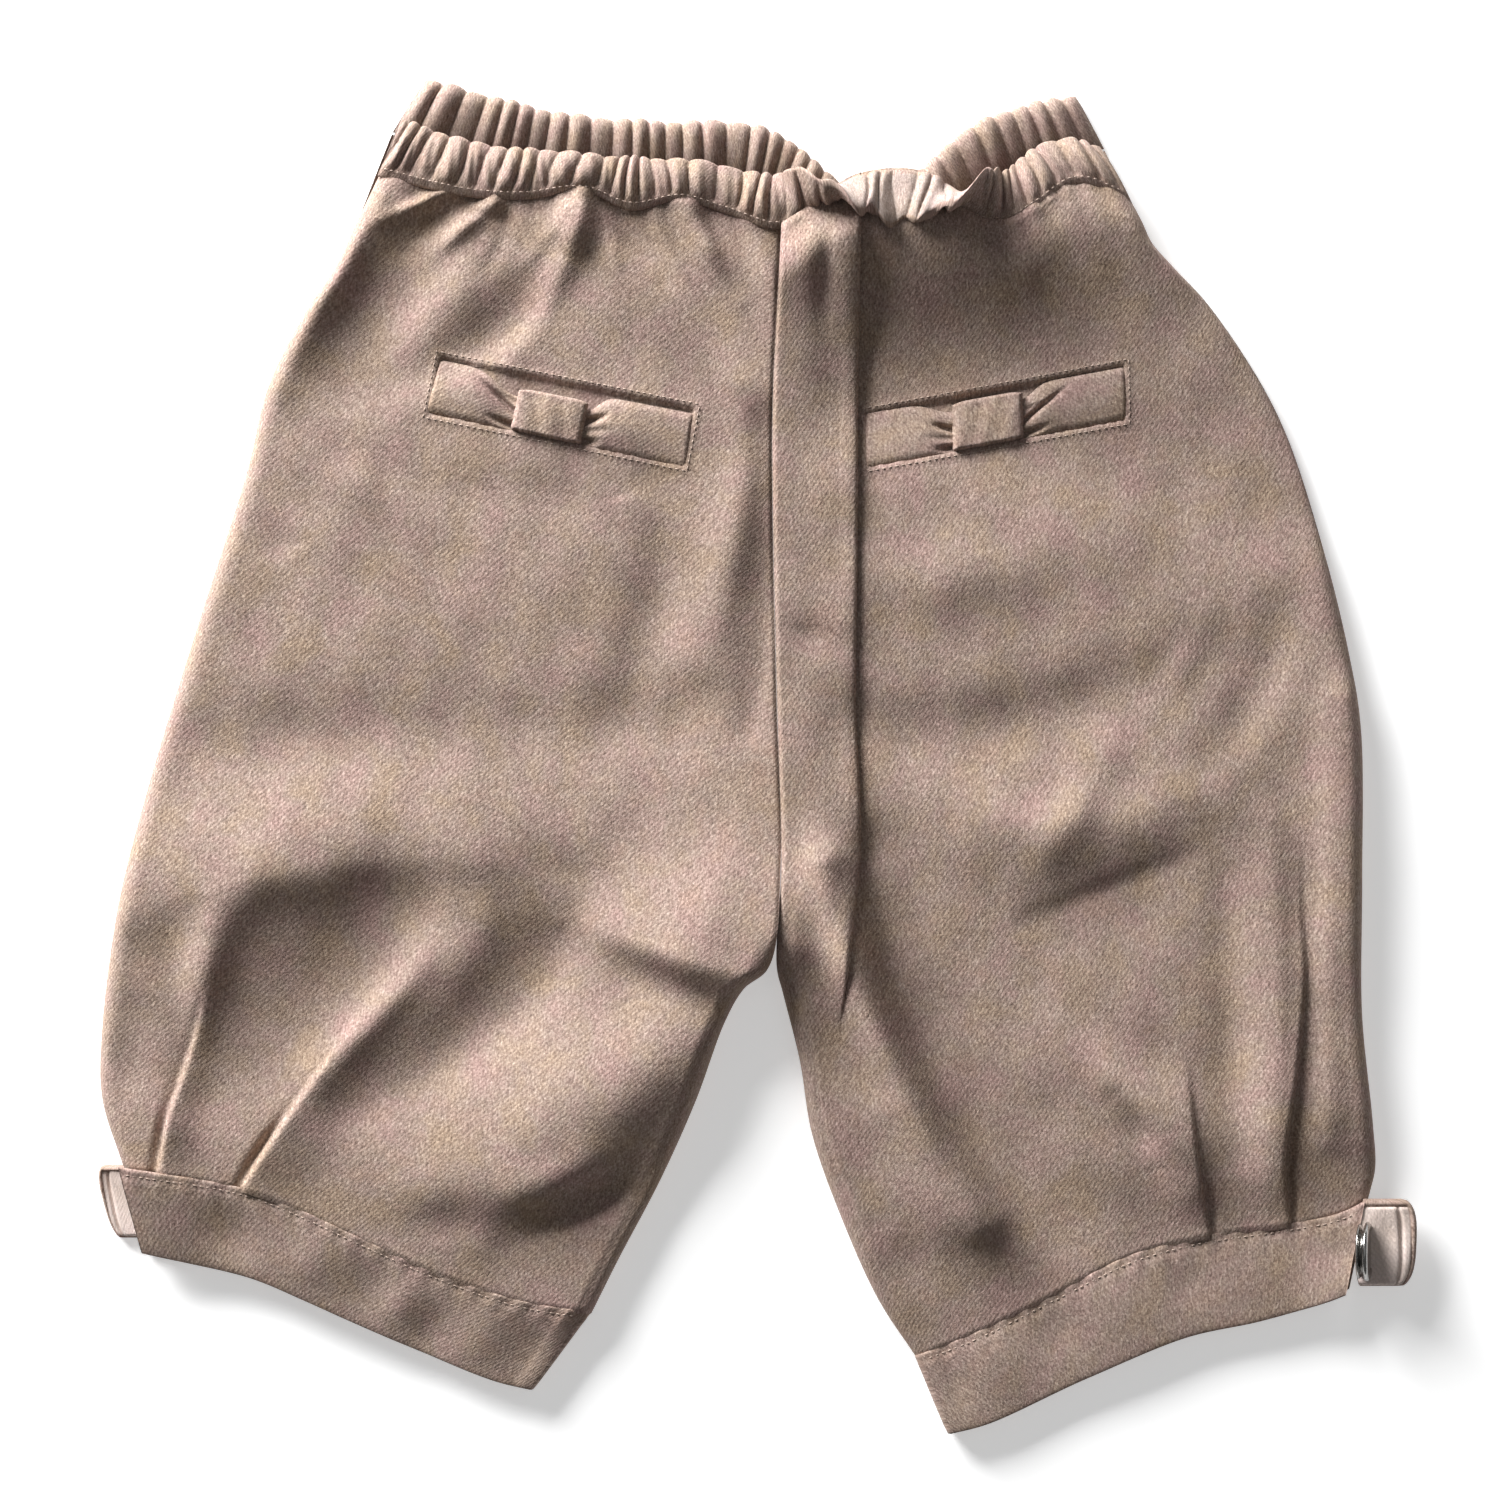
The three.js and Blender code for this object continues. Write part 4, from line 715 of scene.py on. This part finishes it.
def make_front(side, materials, rows=150, columns=80):
    front = front_leg(side)
    v = np.linspace(0, 1, rows)
    width = front.ends(v)[2]
    edge = np.repeat(FRONT_ROUND * edge_columns(10, 8), rows, axis=0)
    middle = columns_between(FRONT_ROUND, width - FRONT_ROUND, columns)
    away = np.hstack([edge, middle, width - edge[:, ::-1]])
    v = np.repeat(v[:, None], away.shape[1], axis=1)
    opened = front.opened(v)
    inner_turn = mix(1.0, shoulder(away, FRONT_ROUND), opened)
    z = RIM_LEVEL * (1 - inner_turn * shoulder(width - away, FRONT_ROUND))
    z += 0.5 * bell(away, 0.8) * (1 - opened)
    points = with_height(front.plan(away / width, v), z)
    uv = cloth_uv(points, front)
    return sheet_object(f"front_{side}_cloth", points, uv, materials, flip=side == "left")


# The waistbands

def gathers(distance, phase):
    """1 on the ridge of a gather and 0 in the crease between two, unevenly spaced and uneven in height."""
    drift = 1.1 * np.sin(distance * 0.19 + phase) + 0.7 * np.sin(distance * 0.083 + 2 * phase)
    wave = np.abs(np.sin(math.pi * (distance + drift) / GATHER_PITCH)) ** 0.55
    uneven = 0.76 + 0.24 * np.sin(distance * 0.41 + 3 * phase)
    return wave * uneven


def closed_end(distance, total):
    """1 along a band, and falling to a thin, rounded end where it is sewn into the side seam."""
    to_end = np.minimum(distance, total - distance)
    return quarter_round(np.maximum(to_end, 0.04 * BAND_END), BAND_END)


def strip_section(count, squareness, flatness):
    """The section of a doubled strip: shares of its height, and its face from 1 outside to -1 inside."""
    turn = np.linspace(0, 2 * math.pi, count, endpoint=False)
    return 0.5 - 0.5 * signed_power(np.cos(turn), squareness), signed_power(np.sin(turn), flatness)


def back_band_surface(at, k, face):
    """Points of the band round the back, by share along it, share of its height, and face 1 or -1."""
    knots = np.array([row[0] for row in BACK_BAND], float)
    shares = np.concatenate([[0], np.cumsum(np.linalg.norm(np.diff(knots, axis=0), axis=1))])
    total = shares[-1]
    distance = at * total
    columns = list(zip(*BACK_BAND))[1:]
    level, roll, slant, height = (eased(column, shares / total, at) for column in columns)
    lean, rolled = np.radians(roll), smooth(50, 110, roll)
    hinge = Curve(knots)
    here, run = hinge(at), hinge.direction(at)
    up = mix(np.array([0, 1.0]), np.stack([-run[..., 1], run[..., 0]], axis=-1), BAND_FAN)

    leaning = GATHER_LEAN * k * smooth(80, 30, distance)
    wander = 1.2 * k * np.sin(distance * 0.11) - leaning + rolled * 0.9 * np.sin(distance * 0.5 + 3 * k)
    ridge = gathers(distance + wander, 0.4)
    bulge = np.sin(math.pi * mix(0.12, 0.88, k))
    pinch = 1 - 0.8 * smooth(0.24, 0.12, k)
    small = mix(0.16, 0.25, rolled) * np.sin(distance * 2.3 + 4 * k) * bulge
    small = small + rolled * 0.4 * np.sin(distance * 1.1 + 7 * k * face)
    body = BAND_THICK / 2 * mix(0.62, 1, bulge) * (1 + 0.45 * rolled)
    outside = body + (2.3 * (ridge - 0.6) + small) * mix(0.5, 1, bulge) * pinch
    inside = body + mix(0.3, 2.0, rolled) * (ridge - 0.5)
    away = np.where(face > 0, outside, inside) * face * closed_end(distance, total)

    lobes = 1.1 * np.sin(distance * 0.7 + 0.8)
    ripple = mix(1.1 * (ridge - 0.6), lobes, rolled) * smooth(0.7, 1.0, k)
    reach = height * mix(-0.1, 1, k) + ripple
    bow = mix(0.9, 0.6, rolled) * np.sin(math.pi * k)
    along = reach * np.cos(lean) - (bow + away) * np.sin(lean)
    z = level + reach * np.sin(lean) + (bow + away) * np.cos(lean)
    sway = 0.6 * np.sin(distance * 0.37 + 1.0) * np.sin(math.pi * k)
    x = here[..., 0] + up[..., 0] * along + slant * k + run[..., 0] * sway
    y = here[..., 1] + up[..., 1] * along + run[..., 1] * sway
    return np.stack([x, y, z], axis=-1), distance


def make_back_band(materials, around=56, rings=660):
    k, face = strip_section(around, 0.75, 0.6)
    at, k_all = np.meshgrid(np.linspace(0, 1, rings), k, indexing="ij")
    points, distance = back_band_surface(at, k_all, np.broadcast_to(face, at.shape))
    uv = np.stack([distance * BAND_FULLNESS, BAND_HEIGHT * k_all], axis=-1)
    slots = ((face < -0.25) & (k > 0.12) & (k < 0.97)).astype(int)
    return tube_object("waistband_back_cloth", points, uv, materials, ring_slots=slots)


def make_front_band(materials, around=48, rings_per_mm=3.2):
    total = front_band_top.length
    k, face = strip_section(around, 0.75, 0.6)
    at, k_all = np.meshgrid(np.linspace(0, 1, int(total * rings_per_mm)), k, indexing="ij")
    distance = at * total
    ridge = gathers(distance, 1.7)
    bulge = np.sin(math.pi * mix(0.1, 0.9, k_all))
    top = 1.8 + 0.9 * bulge + 2.3 * (ridge - 0.55) * mix(0.6, 1, bulge) + FRONT_BAND_LEAN * (1 - k_all)
    top = mix(1.2, top, closed_end(distance, total))
    z = np.where(face > 0, 1.0 + (top - 1.0) * face, 1.0 + face)
    place = front_band_line(at, BAND_HEIGHT * k_all)
    place[..., 1] += 1.3 * (ridge - 0.6) * smooth(0.3, 0.0, k_all)
    uv = np.stack([distance * BAND_FULLNESS, BAND_HEIGHT * k_all], axis=-1)
    return tube_object("waistband_front_cloth", with_height(place, z), uv, materials, flip=True)


# The cuffs

def cuff_dents(side, x, y):
    return sum(height * np.exp(-((x - at_x) ** 2 + (y - at_y) ** 2) / radius**2)
               for at_x, at_y, radius, height in CUFF_DENTS[side])


def cuff_point(leg, along, turn, down, deep):
    """A point of a cuff: along it, turned over to its lower layer, down from its seam, and deep in it."""
    end = CUFF_ENDS[leg.name]
    half = CUFF_LEVEL / 2
    sway = np.radians(turn)
    base = mix(leg.cuff(along), leg.hem(along), down[..., None])
    first = mix(leg.cuff(0.0), leg.hem(0.0), down[..., None])
    inset = mix(leg.cuff(0.1), leg.hem(0.1), down[..., None]) - first
    inset /= np.linalg.norm(inset, axis=-1, keepdims=True)
    reach = CUFF_TURN * (half - (half - deep) * np.sin(sway))
    base = np.where((along <= 0)[..., None], first + inset * reach[..., None], base)
    base[..., 1] -= SEAM * smooth(0.25, 0, down)
    lift = smooth(end["from"], 1, along) * end["rise"]
    wave = 0.25 * np.sin(along * CUFF_LENGTH * 0.12 + 1) * smooth(0, 0.15, along)
    dents = cuff_dents(leg.name, base[..., 0], base[..., 1]) * smooth(0, 0.06, along)
    tilt = CUFF_TILT[leg.name] * (1 - down) * smooth(0, 0.05, along)
    on_top = turn == 0
    return with_height(base, half + (half - deep) * np.cos(sway) + (lift + wave + dents + tilt) * on_top)


def make_cuff(side, materials, upper=230, fold=17, lower=60, around=44):
    leg = legs[side]
    along = np.concatenate([np.linspace(CUFF_ENDS[side]["stop"], 0.045, upper), np.zeros(fold),
                            np.linspace(0.045, 1, lower)])
    turn = np.concatenate([np.zeros(upper), np.linspace(10, 170, fold), np.full(lower, 180.0)])
    down, face = strip_section(around, 0.7, 0.25)
    along, down = np.meshgrid(along, down, indexing="ij")
    turn, face = np.meshgrid(turn, face, indexing="ij")
    distance = along * CUFF_LENGTH
    groove = 0.2 * bell(down - 0.08, 0.025)
    puckers = 0.2 * np.sin(distance * 2 * math.pi / 6.1) * bell(down - 0.05, 0.12)
    deep = CUFF_THICK / 2 * (1 - face) + (groove + puckers) * (face > 0.2)
    points = cuff_point(leg, along, turn, down, deep)
    uv = np.stack([np.where(turn > 90, -distance, distance), CUFF_HEIGHT * down], axis=-1)
    return tube_object(f"cuff_{side}_cloth", points, uv, materials, flip=side == "left")


# The pockets

def pocket_level(side, x, y):
    lift = lap_height(y) * (1 - smooth(-1.5, 1.5, x - lap_edge_x(y))) if side == "right" else 0.0
    return free_level(legs[side], x, y, np.full(np.shape(x), 0.3), lift)


def window_point(pocket, p, q):
    top, bottom = np.array(pocket["top"], float), np.array(pocket["bottom"], float)
    return mix(mix(top[0], top[1], p[..., None]), mix(bottom[0], bottom[1], p[..., None]), q[..., None])


def make_welt(side, materials, rows=56, columns=200, past_end=0.006):
    pocket = POCKETS[side]
    p, q = np.meshgrid(np.linspace(-past_end, 1 + past_end, columns), np.linspace(0, 1, rows))
    off = p - pocket["loop"]
    beyond = np.maximum(np.abs(off) - LOOP_WIDTH / 2 / WINDOW_WIDTH, 0)
    outer = (off > 0).astype(int)
    near = bell(beyond, np.array(pocket["drawn"])[outer])
    top = pocket["pinch"] * near + 0.02 + np.array(pocket["below"])[outer] * (1 - near)
    k = mix(top, 1.02, q)
    place = window_point(pocket, p, k)
    to_end = (np.minimum(p, 1 - p) + past_end) * WINDOW_WIDTH
    crown = quarter_round(np.minimum(q, 1 - q), 0.16) * quarter_round(to_end, 1.2)
    puff = (bell(beyond, 0.22) * (1 - near) + 0.35) * np.sin(math.pi * q)
    creases = 0
    for end, height, slope, depth, length in WELT_CREASES:
        inside = np.where(off * end > 0, depth, 0.0)
        creases = creases + inside * bell(k - height + slope * beyond, 0.055) * smooth(length, 0, beyond)
    z = pocket_level(side, place[..., 0], place[..., 1]) - 0.9 + (1.1 + puff - creases) * crown
    points = with_height(place, z)
    uv = np.stack([p * WINDOW_WIDTH, q * WELT_HEIGHT], axis=-1) + WEAVE_START["welt"]
    return sheet_object(f"pocket_welt_{side}_cloth", points, uv, materials, flip=side == "left")


def make_loop(side, materials, rows=40, columns=52):
    pocket = POCKETS[side]
    p, q = np.meshgrid(np.linspace(-1, 1, columns), np.linspace(0, 1, rows))
    corner = 0.05 * np.abs(p) ** 6
    k = mix(pocket["pinch"] - 0.13 + corner, 1.0 - 0.5 * corner, q)
    place = window_point(pocket, pocket["loop"] + p * LOOP_WIDTH / 2 / WINDOW_WIDTH, k)
    to_edge = np.minimum(1 - np.abs(p), 2 * np.minimum(q, 1 - q)) * LOOP_WIDTH / 2
    puff = 0.5 * (1 - p**2) * np.sin(math.pi * q) + 0.12 * np.sin(9 * p + 3 * q)
    z = pocket_level(side, place[..., 0], place[..., 1]) - 0.2 + (2.0 + puff) * quarter_round(to_edge, 1.3)
    points = with_height(place, z)
    uv = np.stack([p * LOOP_WIDTH / 2, q * LOOP_HEIGHT], axis=-1) + WEAVE_START["loop"]
    return sheet_object(f"pocket_loop_{side}_cloth", points, uv, materials, flip=side == "left")


# The tabs and the button

def tab_grid(shape, top, bottom, end, count):
    """Shares across a tab and out from its root, their places, and how far each is from the edges."""
    across, out = np.meshgrid(np.linspace(top, bottom, count), np.linspace(TAB_ROOT, end, 40), indexing="ij")
    reach = shape["reach"]
    round_end = np.sqrt(np.clip(1 - np.abs(2 * across - 1) ** 3.2, 0, 1))
    root = np.array(shape["root"], float)
    place = mix(root[0], root[1], across[..., None])
    place[..., 0] += reach * out * mix(0.62, 1, round_end)
    to_edge = np.minimum(np.minimum(across - top, bottom - across) * TAB_WIDTH, (end - out) * abs(reach))
    return across, out, place, to_edge


def tab_object(name, side, across, out, points, weave_start, materials):
    uv = np.stack([out * TAB_LENGTH, across * CUFF_HEIGHT], axis=-1) + weave_start
    return sheet_object(name, points, uv, materials, flip=side == "right")


def make_tab(side, materials):
    shape = TABS[side]
    across, out, place, to_edge = tab_grid(shape, 0, 1, 1, 60)
    rim = np.maximum(smooth(0.72, 0.9, out), smooth(0.14, 0.04, across))
    rise = 1.2 + shape["roll"] * rim + 0.25 * np.sin(5 * across) * rim
    points = with_height(place, shape["level"] + rise * quarter_round(to_edge, 1.0))
    return tab_object(f"cuff_tab_{side}_cloth", side, across, out, points, WEAVE_START["tab"], materials)


def make_tab_facing(side, materials):
    shape = TABS[side]
    across, out, place, to_edge = tab_grid(shape, *shape["facing"], 50)
    crease = 0.8 * bell(out - 0.58 - 0.1 * across, 0.05)
    fold = (1.9 - shape["roll"]) * 0.4 * np.sin(math.pi * smooth(0.1, 1.0, out)) ** 2
    rise = 1.15 - crease + fold + 0.2 * np.sin(7 * across + 4 * out)
    points = with_height(place, shape["level"] + 1.25 + rise * quarter_round(to_edge, 0.7))
    return tab_object(f"tab_facing_{side}_cloth", side, across, out, points, WEAVE_START["facing"], materials)


def make_button(materials, sides=96, steps=90):
    turn = np.linspace(0, 2 * math.pi, sides, endpoint=False)
    profile = Curve(BUTTON_PROFILE)(np.linspace(0, 1, steps))
    radius = np.maximum(profile[:, :1] * BUTTON_RADIUS, 0.01)
    height = np.repeat(profile[:, 1:] * BUTTON_THICK / 2, sides, axis=1)
    x, y = radius * np.cos(turn), radius * np.sin(turn)
    tilt = math.radians(BUTTON_TILT)
    tilted_x = x * math.cos(tilt) + height * math.sin(tilt)
    tilted_z = height * math.cos(tilt) - x * math.sin(tilt)
    points = np.stack([tilted_x, y, tilted_z], axis=-1) + np.array(BUTTON_AT)
    return tube_object("press_button_metal", points, np.stack([x, y], axis=-1), materials)


# Stitches

def stitch_row(name, path, normals, material, rings=7, around=7):
    """Short rounded stitches laid along a path of points, each sunk a little at its two ends."""
    distance = np.concatenate([[0], np.cumsum(np.linalg.norm(np.diff(path, axis=0), axis=1))])
    turn = np.linspace(0, 2 * math.pi, around, endpoint=False)[None, :, None]
    along = np.linspace(-1, 1, rings)
    radius = np.sqrt(np.clip(1 - np.abs(along) ** 3, 0.02, 1))[:, None, None] * STITCH_RADIUS
    arch = STITCH_RADIUS * (0.9 - 1.1 * along**2)[:, None]
    one_stitch = tube_faces(rings, around)
    points, faces = [], []

    def read(table, spots):
        return np.stack([np.interp(spots, distance, column) for column in table.T], axis=-1)

    for i in range(int(distance[-1] / STITCH_PITCH)):
        middle = (i + 0.5) * STITCH_PITCH
        centre = read(path, middle + along * STITCH_LENGTH / 2)
        up = read(normals, middle)
        up /= np.linalg.norm(up)
        run = centre[-1] - centre[0]
        run /= np.linalg.norm(run)
        ring = (np.cos(turn) * np.cross(run, up) + np.sin(turn) * up) * radius
        points.append(((centre + up * arch)[:, None] + ring).reshape(-1, 3))
        faces += [[i * rings * around + n for n in face] for face in one_stitch]
    cloud = np.vstack(points)
    return mesh_object(name, cloud, faces, cloud[:, :2], [material])


def upright(path):
    return np.tile([0.0, 0.0, 1.0], (len(path), 1))


def window_stitches(side, material):
    """Topstitching just outside the pocket window, but not along the side of the right one at the lap."""
    middle, along, down = window_place(POCKETS[side])
    half_along = along / 2 + along / np.linalg.norm(along)
    half_down = down / 2 + down / np.linalg.norm(down)
    signs = [(-1, -1), (1, -1), (1, 1), (-1, 1)] + ([(-1, -1)] if side == "left" else [])
    corners = [middle + a * half_along + d * half_down for a, d in signs]
    line = np.vstack([mix(a, b, np.linspace(0, 1, 60)[:, None]) for a, b in zip(corners, corners[1:])])
    path = with_height(line, pocket_level(side, line[:, 0], line[:, 1]) + WINDOW_LIP * 0.75)
    return stitch_row(f"pocket_{side}_topstitch", path, upright(path), material)


def band_stitches(material):
    """The stitched line along the bottom of the band round the back."""
    at = np.linspace(0.004, 0.996, 700)
    k = np.full(at.shape, 0.13)
    path, _ = back_band_surface(at, k, np.ones(at.shape))
    raised, _ = back_band_surface(at, k, np.full(at.shape, 1.3))
    return stitch_row("waistband_stitch", path, raised - path, material)


def cuff_stitches(side, material, count=200):
    along = np.linspace(CUFF_ENDS[side]["stop"] - 0.01, 0.02, count)
    path = cuff_point(legs[side], along, np.zeros(count), np.full(count, 0.08), np.full(count, 0.3))
    return stitch_row(f"cuff_{side}_topstitch", path, upright(path), material)


# Materials

WHITE = (1, 1, 1, 1)


def linear(rgb):
    return tuple(((c / 255 + 0.055) / 1.055) ** 2.4 if c > 10 else c / 255 / 12.92 for c in rgb) + (1.0,)


class Nodes:
    """A new material and its nodes. A node's inputs are values, or outputs of other nodes."""

    def __init__(self, name):
        self.material = bpy.data.materials.new(name)
        self.material.use_nodes = True
        self.tree = self.material.node_tree

    def fill(self, node, inputs):
        for key, value in inputs.items():
            if isinstance(value, bpy.types.NodeSocket):
                self.tree.links.new(value, node.inputs[key])
            else:
                node.inputs[key].default_value = value

    def add(self, kind, inputs, **settings):
        node = self.tree.nodes.new(kind)
        for key, value in settings.items():
            setattr(node, key, value)
        self.fill(node, inputs)
        return node

    def shade(self, inputs):
        self.fill(self.tree.nodes["Principled BSDF"], inputs)
        return self.material

    def coordinates(self):
        return self.add("ShaderNodeTexCoord", {}).outputs["Object"]

    def turned(self, source, degrees, scale=(1.0, 1.0, 1.0)):
        rotation = (0, 0, math.radians(degrees))
        inputs = {"Vector": source, "Rotation": rotation, "Scale": scale}
        return self.add("ShaderNodeMapping", inputs).outputs["Vector"]

    def noise(self, source, scale, detail=2.0, roughness=0.5, distortion=0.0):
        inputs = {"Vector": source, "Scale": scale, "Detail": detail, "Roughness": roughness,
                  "Distortion": distortion}
        return self.add("ShaderNodeTexNoise", inputs).outputs["Fac"]

    def ramp(self, source, stops):
        node = self.add("ShaderNodeValToRGB", {"Fac": source})
        elements = node.color_ramp.elements
        while len(elements) < len(stops):
            elements.new(0.5)
        for element, (position, colour) in zip(elements, stops):
            element.position = position
            element.color = colour
        return node.outputs["Color"]

    def blend(self, kind, amount, a, b):
        inputs = {"Factor": amount, 6: a, 7: b}
        return self.add("ShaderNodeMix", inputs, data_type="RGBA", blend_type=kind).outputs[2]

    def maths(self, operation, a, b):
        return self.add("ShaderNodeMath", {0: a, 1: b}, operation=operation).outputs[0]


def cloth_material(name, tones, warm, cool, twill, nap):
    """Napped twill: faint diagonal ribs under short fibres, speckled, with slow drifts of hue."""
    nodes = Nodes(name)
    dark, middle, light = (linear(tone) for tone in tones)
    uv = nodes.add("ShaderNodeUVMap", {}, uv_map="cloth").outputs["UV"]
    speckle = nodes.noise(uv, 1700, 3.0, 0.7)
    clumps = nodes.noise(uv, 800, 4.0, 0.7, 0.8)
    slow = nodes.noise(uv, 55, 3.0, 0.6)
    drift = nodes.noise(uv, 120, 2.0, 0.5, 0.3)
    fibres = nodes.noise(nodes.turned(uv, -40, (1.0, 0.28, 1.0)), 1900, 3.0, 0.75, 0.6)
    rib = nodes.add("ShaderNodeTexWave", {
        "Vector": nodes.turned(uv, 42),
        "Scale": 340,
        "Distortion": 3.0,
        "Detail": 2.0,
        "Detail Scale": 2.2,
    }, wave_type="BANDS", bands_direction="X", wave_profile="SIN")
    ribs = rib.outputs["Fac"]

    base = nodes.ramp(speckle, [(0.34, dark), (0.5, middle), (0.68, light)])
    base = nodes.blend("MIX", 0.38, base, nodes.ramp(clumps, [(0.3, dark), (0.52, middle), (0.75, light)]))
    base = nodes.blend("MIX", 0.4, base, nodes.ramp(fibres, [(0.36, dark), (0.5, middle), (0.66, light)]))
    base = nodes.blend("MULTIPLY", 0.8, base, nodes.ramp(slow, [(0.36, cool), (0.5, WHITE), (0.64, warm)]))
    base = nodes.blend("MULTIPLY", 0.45, base, nodes.ramp(drift, [(0.38, warm), (0.5, WHITE), (0.62, cool)]))
    rib_tone = nodes.ramp(ribs, [(0.15, (0.88, 0.87, 0.86, 1)), (0.8, (1.05, 1.05, 1.05, 1))])
    base = nodes.blend("MULTIPLY", twill, base, rib_tone)

    height = nodes.maths("ADD", nodes.maths("MULTIPLY", ribs, 0.28 * twill),
                         nodes.maths("MULTIPLY", fibres, 0.8 * nap))
    height = nodes.maths("ADD", height, nodes.maths("MULTIPLY", clumps, 1.3 * nap))
    bump = nodes.add("ShaderNodeBump", {"Strength": 0.42, "Distance": 0.00035, "Height": height})
    return nodes.shade({
        "Base Color": base,
        "Normal": bump.outputs["Normal"],
        "Roughness": 0.93,
        "Specular IOR Level": 0.22,
        "Sheen Weight": 0.14,
        "Sheen Roughness": 0.45,
        "Sheen Tint": linear((232, 214, 200)),
    })


def thread_material():
    nodes = Nodes("thread")
    tone = nodes.ramp(nodes.noise(nodes.coordinates(), 1800),
                      [(0, linear((150, 128, 114))), (1, linear((206, 186, 172)))])
    return nodes.shade({"Base Color": tone, "Roughness": 0.6})


def metal_material():
    nodes = Nodes("button_metal")
    scratch = nodes.noise(nodes.coordinates(), 160)
    tone = nodes.ramp(scratch, [(0, linear((120, 118, 116))), (1, linear((205, 203, 200)))])
    roughness = nodes.add("ShaderNodeMapRange", {"Value": scratch, "To Min": 0.1, "To Max": 0.3})
    return nodes.shade({"Base Color": tone, "Roughness": roughness.outputs["Result"], "Metallic": 1.0})


def floor_material():
    nodes = Nodes("paper_floor")
    tone = nodes.ramp(nodes.noise(nodes.coordinates(), 400),
                      [(0, (0.93, 0.93, 0.93, 1)), (1, (0.95, 0.95, 0.95, 1))])
    glow = {"Emission Color": WHITE, "Emission Strength": 0.4}
    return nodes.shade({"Base Color": tone, "Roughness": 0.9, **glow})


# The camera looks straight down, as in the photo. The width and level of what it frames are in metres.

VIEW_WIDTH = 0.3629
VIEW_LEVEL = 0.006
LENS = 85.0
SENSOR = 36.0

lens = bpy.data.cameras.new("camera")
lens.lens = LENS
lens.sensor_width = SENSOR
camera = add_object("camera", lens)
camera.location = (0, 0, VIEW_LEVEL + VIEW_WIDTH * LENS / SENSOR)
bpy.context.scene.camera = camera


# The pieces

cloth = cloth_material("cloth", ((98, 82, 74), (151, 131, 120), (208, 190, 177)),
                       warm=(1.03, 1.0, 0.90, 1), cool=(1.04, 0.95, 1.0, 1), twill=0.8, nap=1.0)
reverse = cloth_material("cloth_reverse", ((106, 92, 85), (152, 137, 129), (202, 189, 181)),
                         warm=(1.04, 1.0, 0.94, 1), cool=(1.02, 0.97, 1.0, 1), twill=0.1, nap=1.6)
# The facing is a pale pinkish cloth, but these tones are paler still than its own colour: painted light that
# makes up for the shade the leg casts over the right tab
facing = cloth_material("facing", ((196, 180, 172), (218, 202, 194), (233, 219, 212)),
                        warm=(1.02, 1.0, 0.97, 1), cool=(1.0, 0.98, 1.0, 1), twill=0.5, nap=0.9)
thread = thread_material()
metal = metal_material()


def declare(piece, node):
    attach(piece, "root")
    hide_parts(node)


def declare_stitches(row):
    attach(row, "root")


for side in ("left", "right"):
    declare(make_back(side, [cloth]), f"back_{side}")
    declare(make_front(side, [cloth]), f"front_{side}")
    declare(make_cuff(side, [cloth]), f"cuff_{side}")
    declare(make_welt(side, [cloth]), f"pocket_welt_{side}")
    declare(make_loop(side, [cloth]), f"pocket_loop_{side}")
    declare(make_tab(side, [cloth]), f"cuff_tab_{side}")
    declare(make_tab_facing(side, [facing]), f"tab_facing_{side}")
    declare_stitches(window_stitches(side, thread))
    declare_stitches(cuff_stitches(side, thread))

declare(make_back_band([cloth, reverse]), "waistband_back")
declare(make_front_band([cloth]), "waistband_front")
declare_stitches(band_stitches(thread))

button = make_button([metal])
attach(button, "root")
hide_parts("press_button")


# The floor and the light, in metres

FLOOR = 2.0
FLOOR_LEVEL = -0.0002

floor_mesh = bpy.data.meshes.new("floor")
floor_mesh.from_pydata([(-FLOOR, -FLOOR, 0), (FLOOR, -FLOOR, 0), (FLOOR, FLOOR, 0), (-FLOOR, FLOOR, 0)], [],
                       [(0, 1, 2, 3)])
floor_mesh.materials.append(floor_material())
floor = add_object("floor", floor_mesh)
floor.location.z = FLOOR_LEVEL


def area_light(name, place, size, power):
    light = bpy.data.lights.new(name, "AREA")
    light.shape = "SQUARE"
    light.size = size
    light.energy = power
    item = add_object(name, light)
    item.location = place
    item.rotation_euler = (-Vector(place)).to_track_quat("-Z", "Y").to_euler()


area_light("key", (-0.87, 1.14, 0.42), size=0.85, power=88.0)
area_light("fill", (0.3, 0.2, 1.6), size=1.4, power=1.6)

world = bpy.data.worlds.new("studio")
world.use_nodes = True
background = world.node_tree.nodes["Background"]
background.inputs["Color"].default_value = WHITE
background.inputs["Strength"].default_value = 0.12
bpy.context.scene.world = world
bpy.context.scene.view_settings.view_transform = "Standard"
